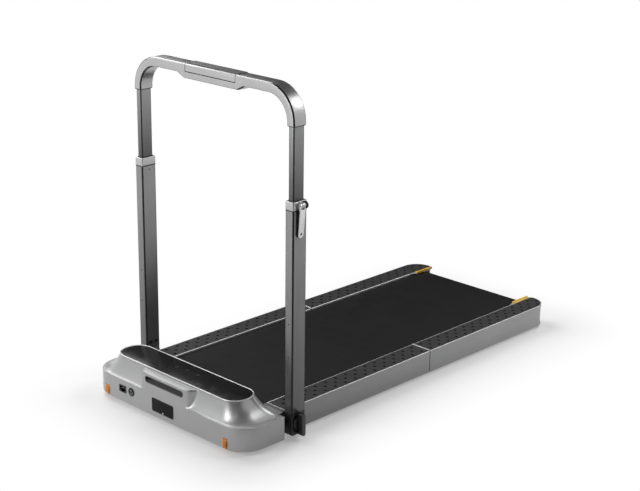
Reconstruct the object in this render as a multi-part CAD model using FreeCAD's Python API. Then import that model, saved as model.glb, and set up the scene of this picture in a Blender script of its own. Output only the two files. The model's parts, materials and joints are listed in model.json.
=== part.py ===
import FreeCAD, Part
import math
import os

# Folding walking pad with a folding, height-adjustable handrail.
# Millimetres. Z is up from the floor, X is across the deck with the clamp lever at +X,
# and Y runs from the front face of the motor hood towards the rear of the deck.
# Every piece is moved along Y on saving, so that the origin is under the middle of the part.

# Deck rails
deck_end = 1463.0
fold_line = 834.0
rail_start = 200.0
rail_half_span = 299.0
rail_width = 76.0
rail_bottom = 8.0
rail_top = 80.0
rail_wall = 3.0
rail_corner = 62.0
rail_inner_corner = 12.0
rail_heel = 28.0
rail_cap_depth = 12.0
rail_cap_edge = 2.5
cap_nose_thick = 2.2
cap_nose_gap = 1.0
end_pocket = 14.0
ear_reach = 9.0
ear_thick = 4.0
ear_taper = 32.0
foot_plate_thick = 4.0
foot_plate_gap = 0.2
foot_plate_setback = 4.0

# Fold hinge between the two deck halves
hinge_axis_rise = 0.8
knuckle_radius = 3.0
knuckle_count = 5
knuckle_gap = 0.3
leaf_thick = 1.2
leaf_gap = 0.2
leaf_bottom = 20.0
leaf_inset = 16.0
hinge_pin_radius = 1.4
running_fit = 0.05

# Welded frames and deck boards
beam_offset = 15.0
beam_width = 34.0
beam_top = 56.0
beam_wall = 2.5
beam_front = 50.0
beam_rear_clear = 36.0
crossbar_depth = 30.0
crossbar_height = 18.0
crossbar_wall = 2.5
crossbar_end_gap = 12.0
crossbar_front_count = 4
crossbar_rear_count = 3
board_inset = 10.0
board_thick = 15.0
board_roller_gap = 12.0
board_fold_gap = 6.0

# Walking belt and its rollers
belt_side_gap = 3.0
belt_thick = 2.0
belt_board_gap = 0.4
belt_roller_gap = 0.3
belt_fold_gap = 0.2
roller_radius = 20.0
roller_wall = 3.0
roller_overhang = 2.0
roller_plug = 14.0
front_roller_place = 128.0
rear_roller_inset = 51.0
axle_radius = 6.0
axle_end_inset = 6.0

# Drive
pulley_radius = 28.0
pulley_width = 12.0
pulley_gap = 1.5
motor_pulley_radius = 12.0
motor_radius = 35.0
motor_length = 150.0
motor_place = 60.0
motor_height = 76.0
motor_foot_width = 50.0
motor_shaft_radius = 5.0
motor_gap = 4.0
drive_belt_thick = 3.0
drive_belt_gap = 0.3
drive_belt_inset = 1.0

# Motor controller
control_inner = 70.0
control_width = 150.0
control_front = 24.0
control_depth = 66.0
control_height = 34.0
fin_count = 9
fin_height = 16.0
fin_thick = 3.0

# Motor hood
hood_overhang = 36.0
hood_depth = 162.0
hood_bottom = 12.0
shoulder_height = 82.0
hood_corner = 78.0
hood_back_corner = 5.0
hood_wall = 3.0
hood_floor = 4.0
hood_rail_gap = 2.0
flare_levels = 5
flare_hollow_share = 0.65
console_end_inset = 67.5
console_front = 29.0
console_back = 135.0
console_top = 142.0
console_end_flat = 3.0
rim_height = 4.0
rim_width = 4.5
rim_ledge = 4.0
rim_ledge_thick = 1.5
panel_thick = 2.0
panel_gap = 0.2

# Carry grip in the middle of the hood's front
boss_half_width = 103.0
boss_spread = 15.0
boss_edge = 7.0
grip_half_width = 84.0
grip_height = 21.0
grip_drop = 8.0
grip_depth = 25.0
grip_wall = 2.0
grip_corner_share = 0.45

# Fittings on the hood's front face
plate_middle = -6.0
plate_width = 96.0
plate_height = 49.0
plate_tall = 42.0
plate_thick = 1.0
plate_corner = 5.0
inlet_middle = -189.0
inlet_height = 53.5
inlet_width = 32.0
inlet_tall = 23.0
inlet_flange = 1.5
inlet_body_inset = 2.0
inlet_body_depth = 16.0
inlet_mouth_width = 24.5
inlet_mouth_tall = 16.0
inlet_mouth_depth = 13.0
inlet_mouth_corner = 5.0
inlet_pin_width = 2.0
inlet_pin_tall = 4.0
inlet_pin_pitch = 7.0
inlet_pin_length = 10.0
inlet_pin_lift = 2.0
switch_middle = -148.5
switch_height = 55.0
switch_radius = 13.6
switch_body_inset = 1.0
switch_bore = 10.2
switch_proud = 1.5
switch_body_depth = 15.0
switch_floor = 3.0
rocker_gap = 0.5
rocker_edge = 0.5
rocker_proud = 2.0
rocker_depth = 5.0
rocker_pivot_depth = 2.5
rocker_pivot_radius = 1.0
rocker_pivot_reach = 1.2
rocker_tilt = 7.0

# Transport wheels
wheel_inset = 74.0
wheel_radius = 24.0
wheel_width = 15.0
wheel_edge = 2.5
wheel_proud = 4.5
wheel_height = 29.0
wheel_slot_gap = 2.0
wheel_axle_radius = 4.0
wheel_ear_thick = 3.5
wheel_ear_gap = 0.8
wheel_ear_reach = 8.0

# Feet
foot_radius = 11.5
foot_edge = 2.0
foot_inset = 40.0
hood_foot_line = 190.0
hood_foot_place = 75.0
foot_end_inset = 70.0

# Upright tubes
upright_gap = 4.5
upright_width = 31.5
upright_depth = 52.0
upright_setback = 14.0
shoe_height = 33.0
shoe_drop = 35.0
shoe_corner = 5.0
upright_wall = 2.0
upright_corner = 4.0
collar_top = 704.0
collar_height = 25.0
collar_lip = 1.0
collar_roof = 5.0
collar_corner = 5.0
bush_length = 60.0
slide_gap = 0.25

# Handrail pivot
pivot_height = 48.0
pivot_pin_radius = 6.0
pivot_head_radius = 11.0
pivot_head_thick = 7.0
pivot_pin_reach = 10.0
bracket_gap = 0.5
bracket_radius = 24.0
shoe_inset = 0.5
shoe_plug_length = 46.0
shoe_plug_gap = 0.2
shoe_recess_radius = 21.5
shoe_recess_tall = 58.0
shoe_recess_depth = 4.0
knob_radius = 20.5
knob_gap = 0.3
knob_face = 3.0
knob_bar_length = 69.0
knob_bar_thick = 14.0
knob_bar_reach = 20.5
bolt_head_radius = 6.5
bolt_head_thick = 3.0
bolt_shank_radius = 4.0
bolt_length = 14.0
bolt_socket_radius = 2.5
bolt_rise = 32.0
bolt_pitch = 22.0

# Clamp lever on the right collar
lever_pin_drop = 11.0
lever_pin_offset = 7.0
lever_pin_radius = 3.0
lever_pin_overhang = 2.0
lug_width = 11.0
lug_radius = 7.5
lever_width = 22.0
lever_fork_gap = 0.4
lever_hub_radius = 6.5
lever_thick = 6.0
lever_plate_drop = 11.5
lever_length = 92.0
lever_hole_radius = 4.0
lever_hole_inset = 12.0

# Sliding inner tubes and the handle bow
inner_tube_width = 20.0
inner_tube_depth = 40.0
inner_tube_wall = 1.5
inner_tube_corner = 3.0
inner_tube_length = 525.0
handle_top = 1018.0
handle_legs = 106.0
handle_bar = 29.0
handle_depth = 48.0
handle_corner = 100.0
handle_edge = 5.0
handle_wall = 3.0
socket_depth = 33.0
module_drop = 14.0
module_half_length = 112.0
module_slope = 28.0
pad_half_length = 110.0
pad_front_inset = 9.0
pad_back_inset = 3.0
pad_rise = 2.0
pad_sink = 1.0

# Device-rest flap in the handle's front face
flap_half_length = 105.0
flap_height = 23.0
flap_thick = 5.0
flap_gap = 0.4
flap_pin_radius = 1.2
flap_pin_reach = 3.0

# Amber end markers and belt tension bolts
marker_length = 85.0
marker_end_inset = 10.0
marker_rise = 5.0
marker_round = 4.5
marker_crest = 4.0
marker_thick = 0.8
tension_plate = 4.0
tension_bolt_radius = 4.0
tension_head_radius = 7.0
tension_head_thick = 6.0

# One overrun serves every cut
overrun = 5.0

# Places that follow from the sizes above
V = FreeCAD.Vector
diagonal_share = math.sqrt(0.5)
part_middle = (deck_end - wheel_proud) / 2
rail_inner = rail_half_span - rail_width
plate_seat = rail_top - foot_plate_thick
seam = leaf_thick + leaf_gap
hinge_height = rail_top + hinge_axis_rise
beam_inner = rail_inner + beam_offset
beam_outer = beam_inner + beam_width
beam_bottom = rail_bottom + rail_wall
board_half_width = beam_outer - board_inset
board_top = beam_top + board_thick
belt_half_width = rail_inner - belt_side_gap
belt_inner_top = board_top + belt_board_gap
belt_bend = roller_radius + belt_roller_gap
roller_height = belt_inner_top - belt_bend
roller_half_length = belt_half_width + roller_overhang
rear_roller_place = deck_end - rear_roller_inset
foot_line = rail_half_span - foot_inset
hood_half_width = rail_half_span + hood_overhang
console_half_length = hood_half_width - console_end_inset
floor_top = hood_bottom + hood_floor
flare_top = console_top - rim_height
grip_high = flare_top - grip_drop
grip_low = grip_high - grip_height
grip_corner = grip_height * grip_corner_share
plate_low = plate_height - plate_tall / 2
plate_high = plate_height + plate_tall / 2
wheel_offset = hood_half_width - wheel_inset
wheel_place = wheel_radius - wheel_proud
upright_middle = rail_start + upright_setback
upright_inner = rail_half_span + upright_gap
upright_bottom = pivot_height + shoe_height
upright_outer = upright_inner + upright_width
upright_centre = upright_inner + upright_width / 2
upright_front = upright_middle - upright_depth / 2
upright_back = upright_middle + upright_depth / 2
shoe_outer = upright_outer - shoe_inset
collar_bottom = collar_top - collar_height
collar_outer = upright_outer + collar_lip
bolt_height = upright_bottom + bolt_rise
lever_pin_height = collar_top - lever_pin_drop
lever_axis = collar_outer + lever_pin_offset
handle_bottom = handle_top - handle_legs
socket_top = handle_bottom + socket_depth
inner_tube_bottom = socket_top - inner_tube_length
flap_bottom = handle_top - flap_height
handle_front = upright_middle - handle_depth / 2
handle_back = upright_middle + handle_depth / 2
handle_half_span = upright_centre + handle_bar / 2
pulley_start = roller_half_length + pulley_gap
pulley_middle = pulley_start + pulley_width / 2


def block(x0, x1, y0, y1, z0, z1):
    """A box between two corners."""
    return Part.makeBox(x1 - x0, y1 - y0, z1 - z0, V(x0, y0, z0))


def rod_x(x0, x1, y, z, radius):
    """A round bar along X."""
    return Part.makeCylinder(radius, x1 - x0, V(x0, y, z), V(1, 0, 0))


def rod_y(y0, y1, x, z, radius):
    """A round bar along Y."""
    return Part.makeCylinder(radius, y1 - y0, V(x, y0, z), V(0, 1, 0))


def rod_z(z0, z1, x, y, radius):
    """A round bar along Z."""
    return Part.makeCylinder(radius, z1 - z0, V(x, y, z0), V(0, 0, 1))


def closed_wire(path):
    """A closed wire: a plain point ends a line, and a pair (middle, end) makes an arc."""
    edges = []
    here = path[0]
    for step in path[1:] + [path[0]]:
        if isinstance(step, tuple):
            edges.append(Part.Arc(here, step[0], step[1]).toShape())
            here = step[1]
        elif here.distanceToPoint(step) > FreeCAD.Base.Precision.confusion():
            edges.append(Part.LineSegment(here, step).toShape())
            here = step
    return Part.Wire(edges)


def corner_arc(centre, radius, start, turn):
    """The middle and end of an arc about a centre in the XY plane, angles in degrees."""
    points = []
    for angle in (start + turn / 2, start + turn):
        reach = math.radians(angle)
        points.append(centre + V(radius * math.cos(reach), radius * math.sin(reach), 0))
    return tuple(points)


def plan_wire(x0, x1, y0, y1, radii, z):
    """A rounded rectangle seen from above, its radii anticlockwise from the front right corner."""
    corners = [(x1, y0, -1, 1, -90), (x1, y1, -1, -1, 0), (x0, y1, 1, -1, 90), (x0, y0, 1, 1, 180)]
    path = []
    for (x, y, side_x, side_y, start), radius in zip(corners, radii):
        centre = V(x + side_x * radius, y + side_y * radius, z)
        reach = math.radians(start)
        path.append(centre + V(radius * math.cos(reach), radius * math.sin(reach), 0))
        if radius > 0:
            path.append(corner_arc(centre, radius, start, 90))
    return closed_wire(path)


def plan_solid(x0, x1, y0, y1, radii, z0, z1):
    """A rounded rectangle drawn up from z0 to z1."""
    return Part.Face(plan_wire(x0, x1, y0, y1, radii, z0)).extrude(V(0, 0, z1 - z0))


def tube_solid(middle_x, middle_y, width, depth, corner, z0, z1):
    """An upright bar of rounded rectangular section about a centre line."""
    half_width = width / 2
    half_depth = depth / 2
    return plan_solid(middle_x - half_width, middle_x + half_width, middle_y - half_depth,
                      middle_y + half_depth, [corner] * 4, z0, z1)


def front_slot(x_middle, half_width, z0, z1, corner, y0, y1):
    """A rounded rectangle seen from the front, drawn along Y."""
    lying = plan_solid(x_middle - half_width, x_middle + half_width, z0, z1, [corner] * 4, 0, y1 - y0)
    lying.rotate(V(0, 0, 0), V(1, 0, 0), 90)
    lying.translate(V(0, y1, 0))
    return lying


def mirrored(shape):
    """The other hand of a piece, across the centre plane."""
    return shape.mirror(V(0, 0, 0), V(1, 0, 0))


def edges_along(shape, axis, chosen):
    """The straight edges along an axis whose middle point passes a test."""
    found = []
    for edge in shape.Edges:
        if isinstance(edge.Curve, Part.Line):
            if edge.tangentAt(edge.FirstParameter).cross(axis).Length < FreeCAD.Base.Precision.angular():
                if chosen(edge.CenterOfMass):
                    found.append(edge)
    return found


def edges_in_plane(shape, axis, level):
    """Every edge that lies in one plane square to an axis."""
    tolerance = FreeCAD.Base.Precision.confusion()
    found = []
    for edge in shape.Edges:
        middle = edge.valueAt((edge.FirstParameter + edge.LastParameter) / 2)
        spots = [vertex.Point for vertex in edge.Vertexes] + [middle]
        if all(abs(spot.dot(axis) - level) < tolerance for spot in spots):
            found.append(edge)
    return found


def save(name, *pieces):
    """Write one node, moved so that the origin is under the middle of the part."""
    shape = pieces[0] if len(pieces) == 1 else Part.makeCompound(list(pieces))
    shape.translate(V(0, -part_middle, 0))
    shape.exportStep("parts/" + name + ".step")


# Deck rails and foot plates, made for the +X side
def rail_plan(inset, start, end, rounded, z0, z1):
    """The plan of a rail, drawn in by an inset, with its rear end rounded or square."""
    outer = rail_corner - inset if rounded else 0
    inner = rail_inner_corner - inset if rounded else 0
    back = end - inset if rounded else end
    return plan_solid(rail_inner + inset, rail_half_span - inset, start, back, [0, outer, inner, 0], z0, z1)


def rail_body(inset, start, end, rounded, z0, z1):
    """The rail's plan drawn up, with the heel of a rounded end curved as seen from the side."""
    body = rail_plan(inset, start, end, rounded, z0, z1)
    if not rounded:
        return body
    back = end - inset
    heel = rail_heel - inset
    bend = heel * diagonal_share
    x = rail_inner
    path = [V(x, start, z0), V(x, back - heel, z0)]
    path.append((V(x, back - heel + bend, z0 + heel - bend), V(x, back, z0 + heel)))
    path += [V(x, back, z1), V(x, start, z1)]
    return body.common(Part.Face(closed_wire(path)).extrude(V(rail_width, 0, 0)))


def side_rail(start, end, rounded):
    """A channel rail: outer wall, floor under the beam, roof under the foot plate, raised lips."""
    floor = rail_bottom + rail_wall
    roof = plate_seat - rail_wall
    rail = rail_body(0, start, end, rounded, rail_bottom, rail_top)
    rail = rail.cut(rail_plan(rail_wall, start - overrun, end, rounded, plate_seat, rail_top + overrun))
    rail = rail.cut(rail_body(rail_wall, start - overrun, end, rounded, floor, roof))
    open_end = end - end_pocket if rounded else end + overrun
    rail = rail.cut(block(rail_inner - overrun, rail_half_span - rail_wall, start - overrun, open_end,
                          floor, roof))
    rail = rail.cut(block(rail_inner - overrun, beam_inner, start - overrun, open_end,
                          rail_bottom - overrun, floor + overrun))
    return rail.fuse(rail_ear(end)).removeSplitter() if rounded else rail


def rail_ear(end):
    """A thin ear on a rail's inner edge that covers the belt's edge at the rear roller."""
    back = end - marker_end_inset
    front = back - marker_length
    brink = rail_inner - ear_reach
    low = rail_top - ear_thick
    plan = [V(rail_inner, front - ear_taper, low), V(rail_inner, back, low), V(brink, back, low),
            V(brink, front, low)]
    return Part.Face(closed_wire(plan)).extrude(V(0, 0, ear_thick))


def foot_plate(start, end, rounded):
    """The dark tread plate that lies between the lips of a rail."""
    return rail_plan(rail_wall + foot_plate_gap, start, end, rounded, plate_seat, rail_top)


def rail_front_cap():
    """A closing cap on the front end of a rail, with a nose that covers the deck up to the hood."""
    front = rail_start - rail_cap_depth
    cap = block(rail_inner, rail_half_span, front, rail_start, rail_bottom, rail_top)
    sides = edges_along(cap, V(0, 0, 1), lambda spot: spot.y < rail_start - rail_cap_edge)
    rims = edges_along(cap, V(1, 0, 0), lambda spot: spot.y < rail_start - rail_cap_edge)
    cap = cap.makeFillet(rail_cap_edge, sides + rims)
    cap = cap.cut(block(rail_inner - overrun, beam_outer, front - overrun, rail_start + overrun,
                        rail_bottom - overrun, belt_inner_top))
    return cap.fuse(block(rail_inner, rail_half_span, hood_depth + cap_nose_gap, front + rail_cap_edge,
                          belt_inner_top, belt_inner_top + cap_nose_thick))


# Fold hinge
def knuckles(first, bore):
    """Every second knuckle of the barrel, starting with the first or the second."""
    span = rail_width - 2 * rail_wall
    pitch = span / knuckle_count
    barrel = []
    for number in range(first, knuckle_count, 2):
        left = rail_inner + rail_wall + number * pitch + knuckle_gap / 2
        right = left + pitch - knuckle_gap
        ring = rod_x(left, right, fold_line, hinge_height, knuckle_radius)
        barrel.append(ring.cut(rod_x(left, right, fold_line, hinge_height, bore)))
    return barrel


def hinge_leaf(first, bore, side):
    """A leaf that stands against the end of a beam, with its knuckles on top."""
    near = fold_line + side * leaf_gap
    far = fold_line + side * seam
    y0 = min(near, far)
    y1 = max(near, far)
    left = rail_inner + leaf_inset
    right = rail_half_span - rail_wall
    shoulder = hinge_height - knuckle_radius - knuckle_gap
    leaf = block(left, right, y0, y1, leaf_bottom, shoulder)
    for ring in knuckles(first, bore):
        box = ring.BoundBox
        tab = block(max(box.XMin, left), box.XMax, y0, y1, shoulder, hinge_height)
        leaf = leaf.fuse(tab).fuse(ring)
    return leaf.cut(rod_x(rail_inner, rail_half_span, fold_line, hinge_height, bore)).removeSplitter()


def hinge_pin():
    """The pin through the whole barrel."""
    return rod_x(rail_inner + rail_wall, rail_half_span - rail_wall, fold_line, hinge_height,
                 hinge_pin_radius)


# Frames and boards
def beam(start, end):
    """A side beam of rectangular tube."""
    tube = block(beam_inner, beam_outer, start, end, beam_bottom, beam_top)
    bore = block(beam_inner + beam_wall, beam_outer - beam_wall, start - overrun, end + overrun,
                 beam_bottom + beam_wall, beam_top - beam_wall)
    return tube.cut(bore)


def frame(start, end, first_bar, last_bar, count):
    """Two side beams welded to evenly spaced crossbars of rectangular tube."""
    side = beam(start, end)
    welded = side.fuse(mirrored(side))
    pitch = (last_bar - first_bar) / (count - 1)
    for number in range(count):
        middle = first_bar + number * pitch
        front = middle - crossbar_depth / 2
        back = middle + crossbar_depth / 2
        low = beam_top - crossbar_height
        bar = block(-beam_inner, beam_inner, front, back, low, beam_top)
        bore = block(-beam_inner, beam_inner, front + crossbar_wall, back - crossbar_wall,
                     low + crossbar_wall, beam_top - crossbar_wall)
        welded = welded.fuse(bar.cut(bore))
    return welded


def board(start, end):
    """The board that the belt slides over."""
    return block(-board_half_width, board_half_width, start, end, beam_top, board_top)


# Walking belt and rollers
def walking_belt(fold_end, roller_place):
    """Half of the walking belt: an upper and a lower run joined round a roller."""
    side = 1 if roller_place > fold_end else -1
    left = -belt_half_width
    loops = []
    for reach in (belt_bend + belt_thick, belt_bend):
        high = roller_height + reach
        low = roller_height - reach
        bend = (V(left, roller_place + side * reach, roller_height), V(left, roller_place, low))
        path = [V(left, fold_end, high), V(left, roller_place, high), bend, V(left, fold_end, low)]
        loops.append(Part.Face(closed_wire(path)).extrude(V(2 * belt_half_width, 0, 0)))
    return loops[0].cut(loops[1])


def roller(place):
    """A hollow roller with a plug at each end that runs on the axle."""
    body = rod_x(-roller_half_length, roller_half_length, place, roller_height, roller_radius)
    inside = roller_half_length - roller_plug
    body = body.cut(rod_x(-inside, inside, place, roller_height, roller_radius - roller_wall))
    bore = axle_radius + running_fit
    return body.cut(rod_x(-roller_half_length, roller_half_length, place, roller_height, bore))


def front_roller():
    """The driven roller with its pulley on the left."""
    end = -pulley_start - pulley_width
    neck = roller_radius - roller_wall
    bore = axle_radius + running_fit
    pulley = rod_x(end, -pulley_start, front_roller_place, roller_height, pulley_radius)
    hub = rod_x(-pulley_start, -roller_half_length, front_roller_place, roller_height, neck)
    pulley = pulley.fuse(hub).cut(rod_x(end, -roller_half_length, front_roller_place, roller_height, bore))
    return roller(front_roller_place).fuse(pulley)


def axle(place):
    """A fixed axle that spans the two beams."""
    end = beam_outer - axle_end_inset
    return rod_x(-end, end, place, roller_height, axle_radius)


def tension_bolt():
    """A bolt that draws the rear axle back towards the beam's end plate, made for the +X side."""
    middle = beam_inner + beam_width / 2
    seat = deck_end - beam_rear_clear
    shank = rod_y(rear_roller_place + axle_radius, seat, middle, roller_height, tension_bolt_radius)
    return shank.fuse(rod_y(seat, seat + tension_head_thick, middle, roller_height, tension_head_radius))


# Drive
def tangent_loop(radius_a, place_a, height_a, radius_b, place_b, height_b, x):
    """The outline of a band round two pulleys, in a plane square to X."""
    run = V(0, place_b - place_a, height_b - height_a)
    lean = math.acos((radius_a - radius_b) / run.Length)
    heading = math.atan2(run.z, run.y)
    centre_a = V(x, place_a, height_a)
    centre_b = V(x, place_b, height_b)

    def spot(centre, radius, angle):
        return centre + V(0, radius * math.cos(angle), radius * math.sin(angle))

    path = [spot(centre_a, radius_a, heading + lean)]
    path.append((spot(centre_a, radius_a, heading + math.pi), spot(centre_a, radius_a, heading - lean)))
    path.append(spot(centre_b, radius_b, heading - lean))
    path.append((spot(centre_b, radius_b, heading), spot(centre_b, radius_b, heading + lean)))
    return closed_wire(path)


def drive_belt():
    """The band from the motor pulley to the roller pulley."""
    width = pulley_width - 2 * drive_belt_inset
    start = -pulley_middle - width / 2
    bands = []
    for rise in (drive_belt_gap + drive_belt_thick, drive_belt_gap):
        outline = tangent_loop(pulley_radius + rise, front_roller_place, roller_height,
                               motor_pulley_radius + rise, motor_place, motor_height, start)
        bands.append(Part.Face(outline).extrude(V(width, 0, 0)))
    return bands[0].cut(bands[1])


def motor_housing():
    """The motor on its foot, bored for the shaft."""
    end = -pulley_start + motor_gap
    can = rod_x(end, end + motor_length, motor_place, motor_height, motor_radius)
    foot = block(end, end + motor_length, motor_place - motor_foot_width / 2,
                 motor_place + motor_foot_width / 2, floor_top, motor_height)
    bore = rod_x(end - overrun, end + motor_length + overrun, motor_place, motor_height,
                 motor_shaft_radius + running_fit)
    return can.fuse(foot).cut(bore)


def motor_rotor():
    """The motor shaft with its small pulley."""
    left = -pulley_start - pulley_width
    right = -pulley_start + motor_gap + motor_length
    shaft = rod_x(left, right, motor_place, motor_height, motor_shaft_radius)
    return shaft.fuse(rod_x(left, -pulley_start, motor_place, motor_height, motor_pulley_radius))


def control_box():
    """The motor controller with cooling fins on its roof."""
    back = control_front + control_depth
    lid = floor_top + control_height
    box = block(control_inner, control_inner + control_width, control_front, back, floor_top, lid)
    pitch = (control_width - fin_thick) / (fin_count - 1)
    for number in range(fin_count):
        left = control_inner + number * pitch
        box = box.fuse(block(left, left + fin_thick, control_front, back, lid, lid + fin_height))
    return box.removeSplitter()


# Hood
def hood_section(level_share, inset, z):
    """The hood's outline at a share of the way up its flare, drawn in by an inset."""
    swept = math.sqrt(1 - (1 - level_share) ** 2)
    drawn = flare_hollow_share * swept + (1 - flare_hollow_share) * level_share

    def between(low, high):
        return low + (high - low) * drawn

    half = between(hood_half_width, console_half_length) - inset
    front = between(0, console_front) + inset
    back = between(hood_depth, console_back) - inset
    end_radius = (console_back - console_front) / 2 - console_end_flat
    front_radius = between(hood_corner, end_radius) - inset
    back_radius = between(hood_back_corner, end_radius) - inset
    return plan_wire(-half, half, front, back, [front_radius, back_radius, back_radius, front_radius], z)


def flare(inset):
    """The hollow-sided upper form of the hood, from the shoulder to the console."""
    rise = flare_top - shoulder_height
    sections = []
    for number in range(flare_levels):
        level_share = number / (flare_levels - 1)
        sections.append(hood_section(level_share, inset, shoulder_height + rise * level_share))
    return Part.makeLoft(sections, True, False)


def grip_boss(inset, low, high):
    """The block that carries the grip, widening from the front face back to the console."""
    front = inset
    narrow = boss_half_width - inset
    wide = boss_half_width + boss_spread - inset
    back = console_front + hood_wall
    path = [V(-narrow, front, low), V(narrow, front, low), V(wide, back, low), V(-wide, back, low)]
    return Part.Face(closed_wire(path)).extrude(V(0, 0, high - low))


def hood_cover():
    """The upper shell of the hood, open to the console above and to the skirt below."""
    boss = grip_boss(0, shoulder_height, flare_top)
    lip = edges_in_plane(boss, V(0, 0, 1), flare_top)
    lip = [edge for edge in lip if edge.CenterOfMass.y < console_front / 2]
    boss = boss.makeFillet(boss_edge, lip)
    hollow = grip_boss(hood_wall, shoulder_height - overrun, flare_top - hood_wall)
    grip = front_slot(0, grip_half_width, grip_low, grip_high, grip_corner, -overrun, hood_wall + overrun)
    shell = flare(0).fuse(boss)
    return shell.cut(flare(hood_wall)).cut(hollow).cut(grip)


def skirt_plan(inset, z0, z1):
    """The hood's plan below the shoulder, drawn in by an inset."""
    back = max(hood_back_corner - inset, 0)
    half = hood_half_width - inset
    radii = [hood_corner - inset, back, back, hood_corner - inset]
    return plan_solid(-half, half, inset, hood_depth - inset, radii, z0, z1)


def wheel_ears():
    """Two ears that hold a transport wheel's axle, made for the +X side."""
    ears = []
    inside = wheel_width / 2 + wheel_ear_gap
    front = wheel_place - wheel_ear_reach
    back = wheel_place + wheel_ear_reach
    for x0 in (wheel_offset - inside - wheel_ear_thick, wheel_offset + inside):
        ears.append(block(x0, x0 + wheel_ear_thick, front, back, hood_bottom,
                          wheel_height + wheel_ear_reach))
    pair = ears[0].fuse(ears[1])
    return pair.cut(axle_of_wheel())


def axle_of_wheel():
    """A transport wheel's axle, made for the +X side."""
    reach = wheel_width / 2 + wheel_ear_gap + wheel_ear_thick
    return rod_x(wheel_offset - reach, wheel_offset + reach, wheel_place, wheel_height, wheel_axle_radius)


def wheel_slot():
    """The room that a transport wheel needs in the skirt and its floor, round above and open below."""
    half = wheel_width / 2 + wheel_ear_gap
    room = wheel_radius + wheel_slot_gap
    arch = rod_x(wheel_offset - half, wheel_offset + half, wheel_place, wheel_height, room)
    return arch.fuse(block(wheel_offset - half, wheel_offset + half, wheel_place - room,
                           wheel_place + room, hood_bottom - overrun, wheel_height))


def hood_skirt():
    """The lower shell: upright walls and a floor, open at the back for the deck."""
    skirt = skirt_plan(0, hood_bottom, shoulder_height)
    skirt = skirt.cut(skirt_plan(hood_wall, floor_top, shoulder_height + overrun))
    doorway = rail_half_span + hood_rail_gap
    skirt = skirt.cut(block(-doorway, doorway, hood_depth - hood_wall - overrun, hood_depth + overrun,
                            hood_bottom - overrun, shoulder_height + overrun))
    for side in (1, -1):
        x0 = min(side * beam_inner, side * beam_outer)
        skirt = skirt.cut(block(x0, x0 + beam_width, beam_front, hood_depth + overrun,
                                hood_bottom - overrun, floor_top + overrun))
    ears = wheel_ears()
    slot = wheel_slot()
    skirt = skirt.cut(slot).cut(mirrored(slot)).fuse(ears).fuse(mirrored(ears))
    inlet_half = inlet_width / 2 - inlet_body_inset
    inlet_reach = inlet_tall / 2 - inlet_body_inset
    skirt = skirt.cut(block(inlet_middle - inlet_half, inlet_middle + inlet_half, -overrun,
                            hood_wall + overrun, inlet_height - inlet_reach, inlet_height + inlet_reach))
    return skirt.cut(rod_y(-overrun, hood_wall + overrun, switch_middle, switch_height,
                           switch_radius - switch_body_inset))


def stadium(inset, z0, z1):
    """The console's outline, drawn in by an inset."""
    radius = (console_back - console_front) / 2 - console_end_flat - inset
    half = console_half_length - inset
    return plan_solid(-half, half, console_front + inset, console_back - inset, [radius] * 4, z0, z1)


def console_rim():
    """The bright rim round the console, with a ledge that carries the panel."""
    rim = stadium(0, flare_top, console_top)
    rim = rim.cut(stadium(rim_width, flare_top + rim_ledge_thick, console_top + overrun))
    return rim.cut(stadium(rim_width + rim_ledge, flare_top - overrun, console_top))


def console_panel():
    """The dark console panel that lies on the rim's ledge."""
    seat = flare_top + rim_ledge_thick
    return stadium(rim_width + panel_gap, seat, seat + panel_thick)


def grip_liner():
    """A cup that fills the grip slot and closes it off from the inside of the hood."""
    outer = front_slot(0, grip_half_width, grip_low, grip_high, grip_corner, 0, grip_depth)
    inner = front_slot(0, grip_half_width - grip_wall, grip_low + grip_wall, grip_high - grip_wall,
                       grip_corner - grip_wall, -overrun, grip_depth - grip_wall)
    return outer.cut(inner)


# Fittings on the hood's front
def service_plate():
    """A bare dark plate on the front face."""
    return front_slot(plate_middle, plate_width / 2, plate_low, plate_high, plate_corner, -plate_thick, 0)


def power_inlet():
    """A recessed mains inlet with three blades and a flange on the front face."""
    half = inlet_width / 2
    reach = inlet_tall / 2
    flange = block(inlet_middle - half, inlet_middle + half, -inlet_flange, 0,
                   inlet_height - reach, inlet_height + reach)
    body = block(inlet_middle - half + inlet_body_inset, inlet_middle + half - inlet_body_inset, 0,
                 inlet_body_depth, inlet_height - reach + inlet_body_inset,
                 inlet_height + reach - inlet_body_inset)
    mouth = front_slot(inlet_middle, inlet_mouth_width / 2, inlet_height - inlet_mouth_tall / 2,
                       inlet_height + inlet_mouth_tall / 2, inlet_mouth_corner,
                       -inlet_flange - overrun, inlet_mouth_depth)
    inlet = flange.fuse(body).cut(mouth)
    for number, lift in ((-1, 0), (0, inlet_pin_lift), (1, 0)):
        x = inlet_middle + number * inlet_pin_pitch
        z = inlet_height + lift
        inlet = inlet.fuse(block(x - inlet_pin_width / 2, x + inlet_pin_width / 2,
                                 inlet_mouth_depth - inlet_pin_length, inlet_mouth_depth,
                                 z - inlet_pin_tall / 2, z + inlet_pin_tall / 2))
    return inlet


def switch_bezel():
    """The round body of the power switch."""
    ring = rod_y(-switch_proud, 0, switch_middle, switch_height, switch_radius)
    body = rod_y(0, switch_body_depth, switch_middle, switch_height, switch_radius - switch_body_inset)
    bore = rod_y(-switch_proud - overrun, switch_body_depth - switch_floor, switch_middle, switch_height,
                 switch_bore)
    half = switch_bore + rocker_pivot_reach + rocker_gap
    pivot = rod_x(switch_middle - half, switch_middle + half, rocker_pivot_depth, switch_height,
                  rocker_pivot_radius + running_fit)
    return ring.fuse(body).cut(bore).cut(pivot)


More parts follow.
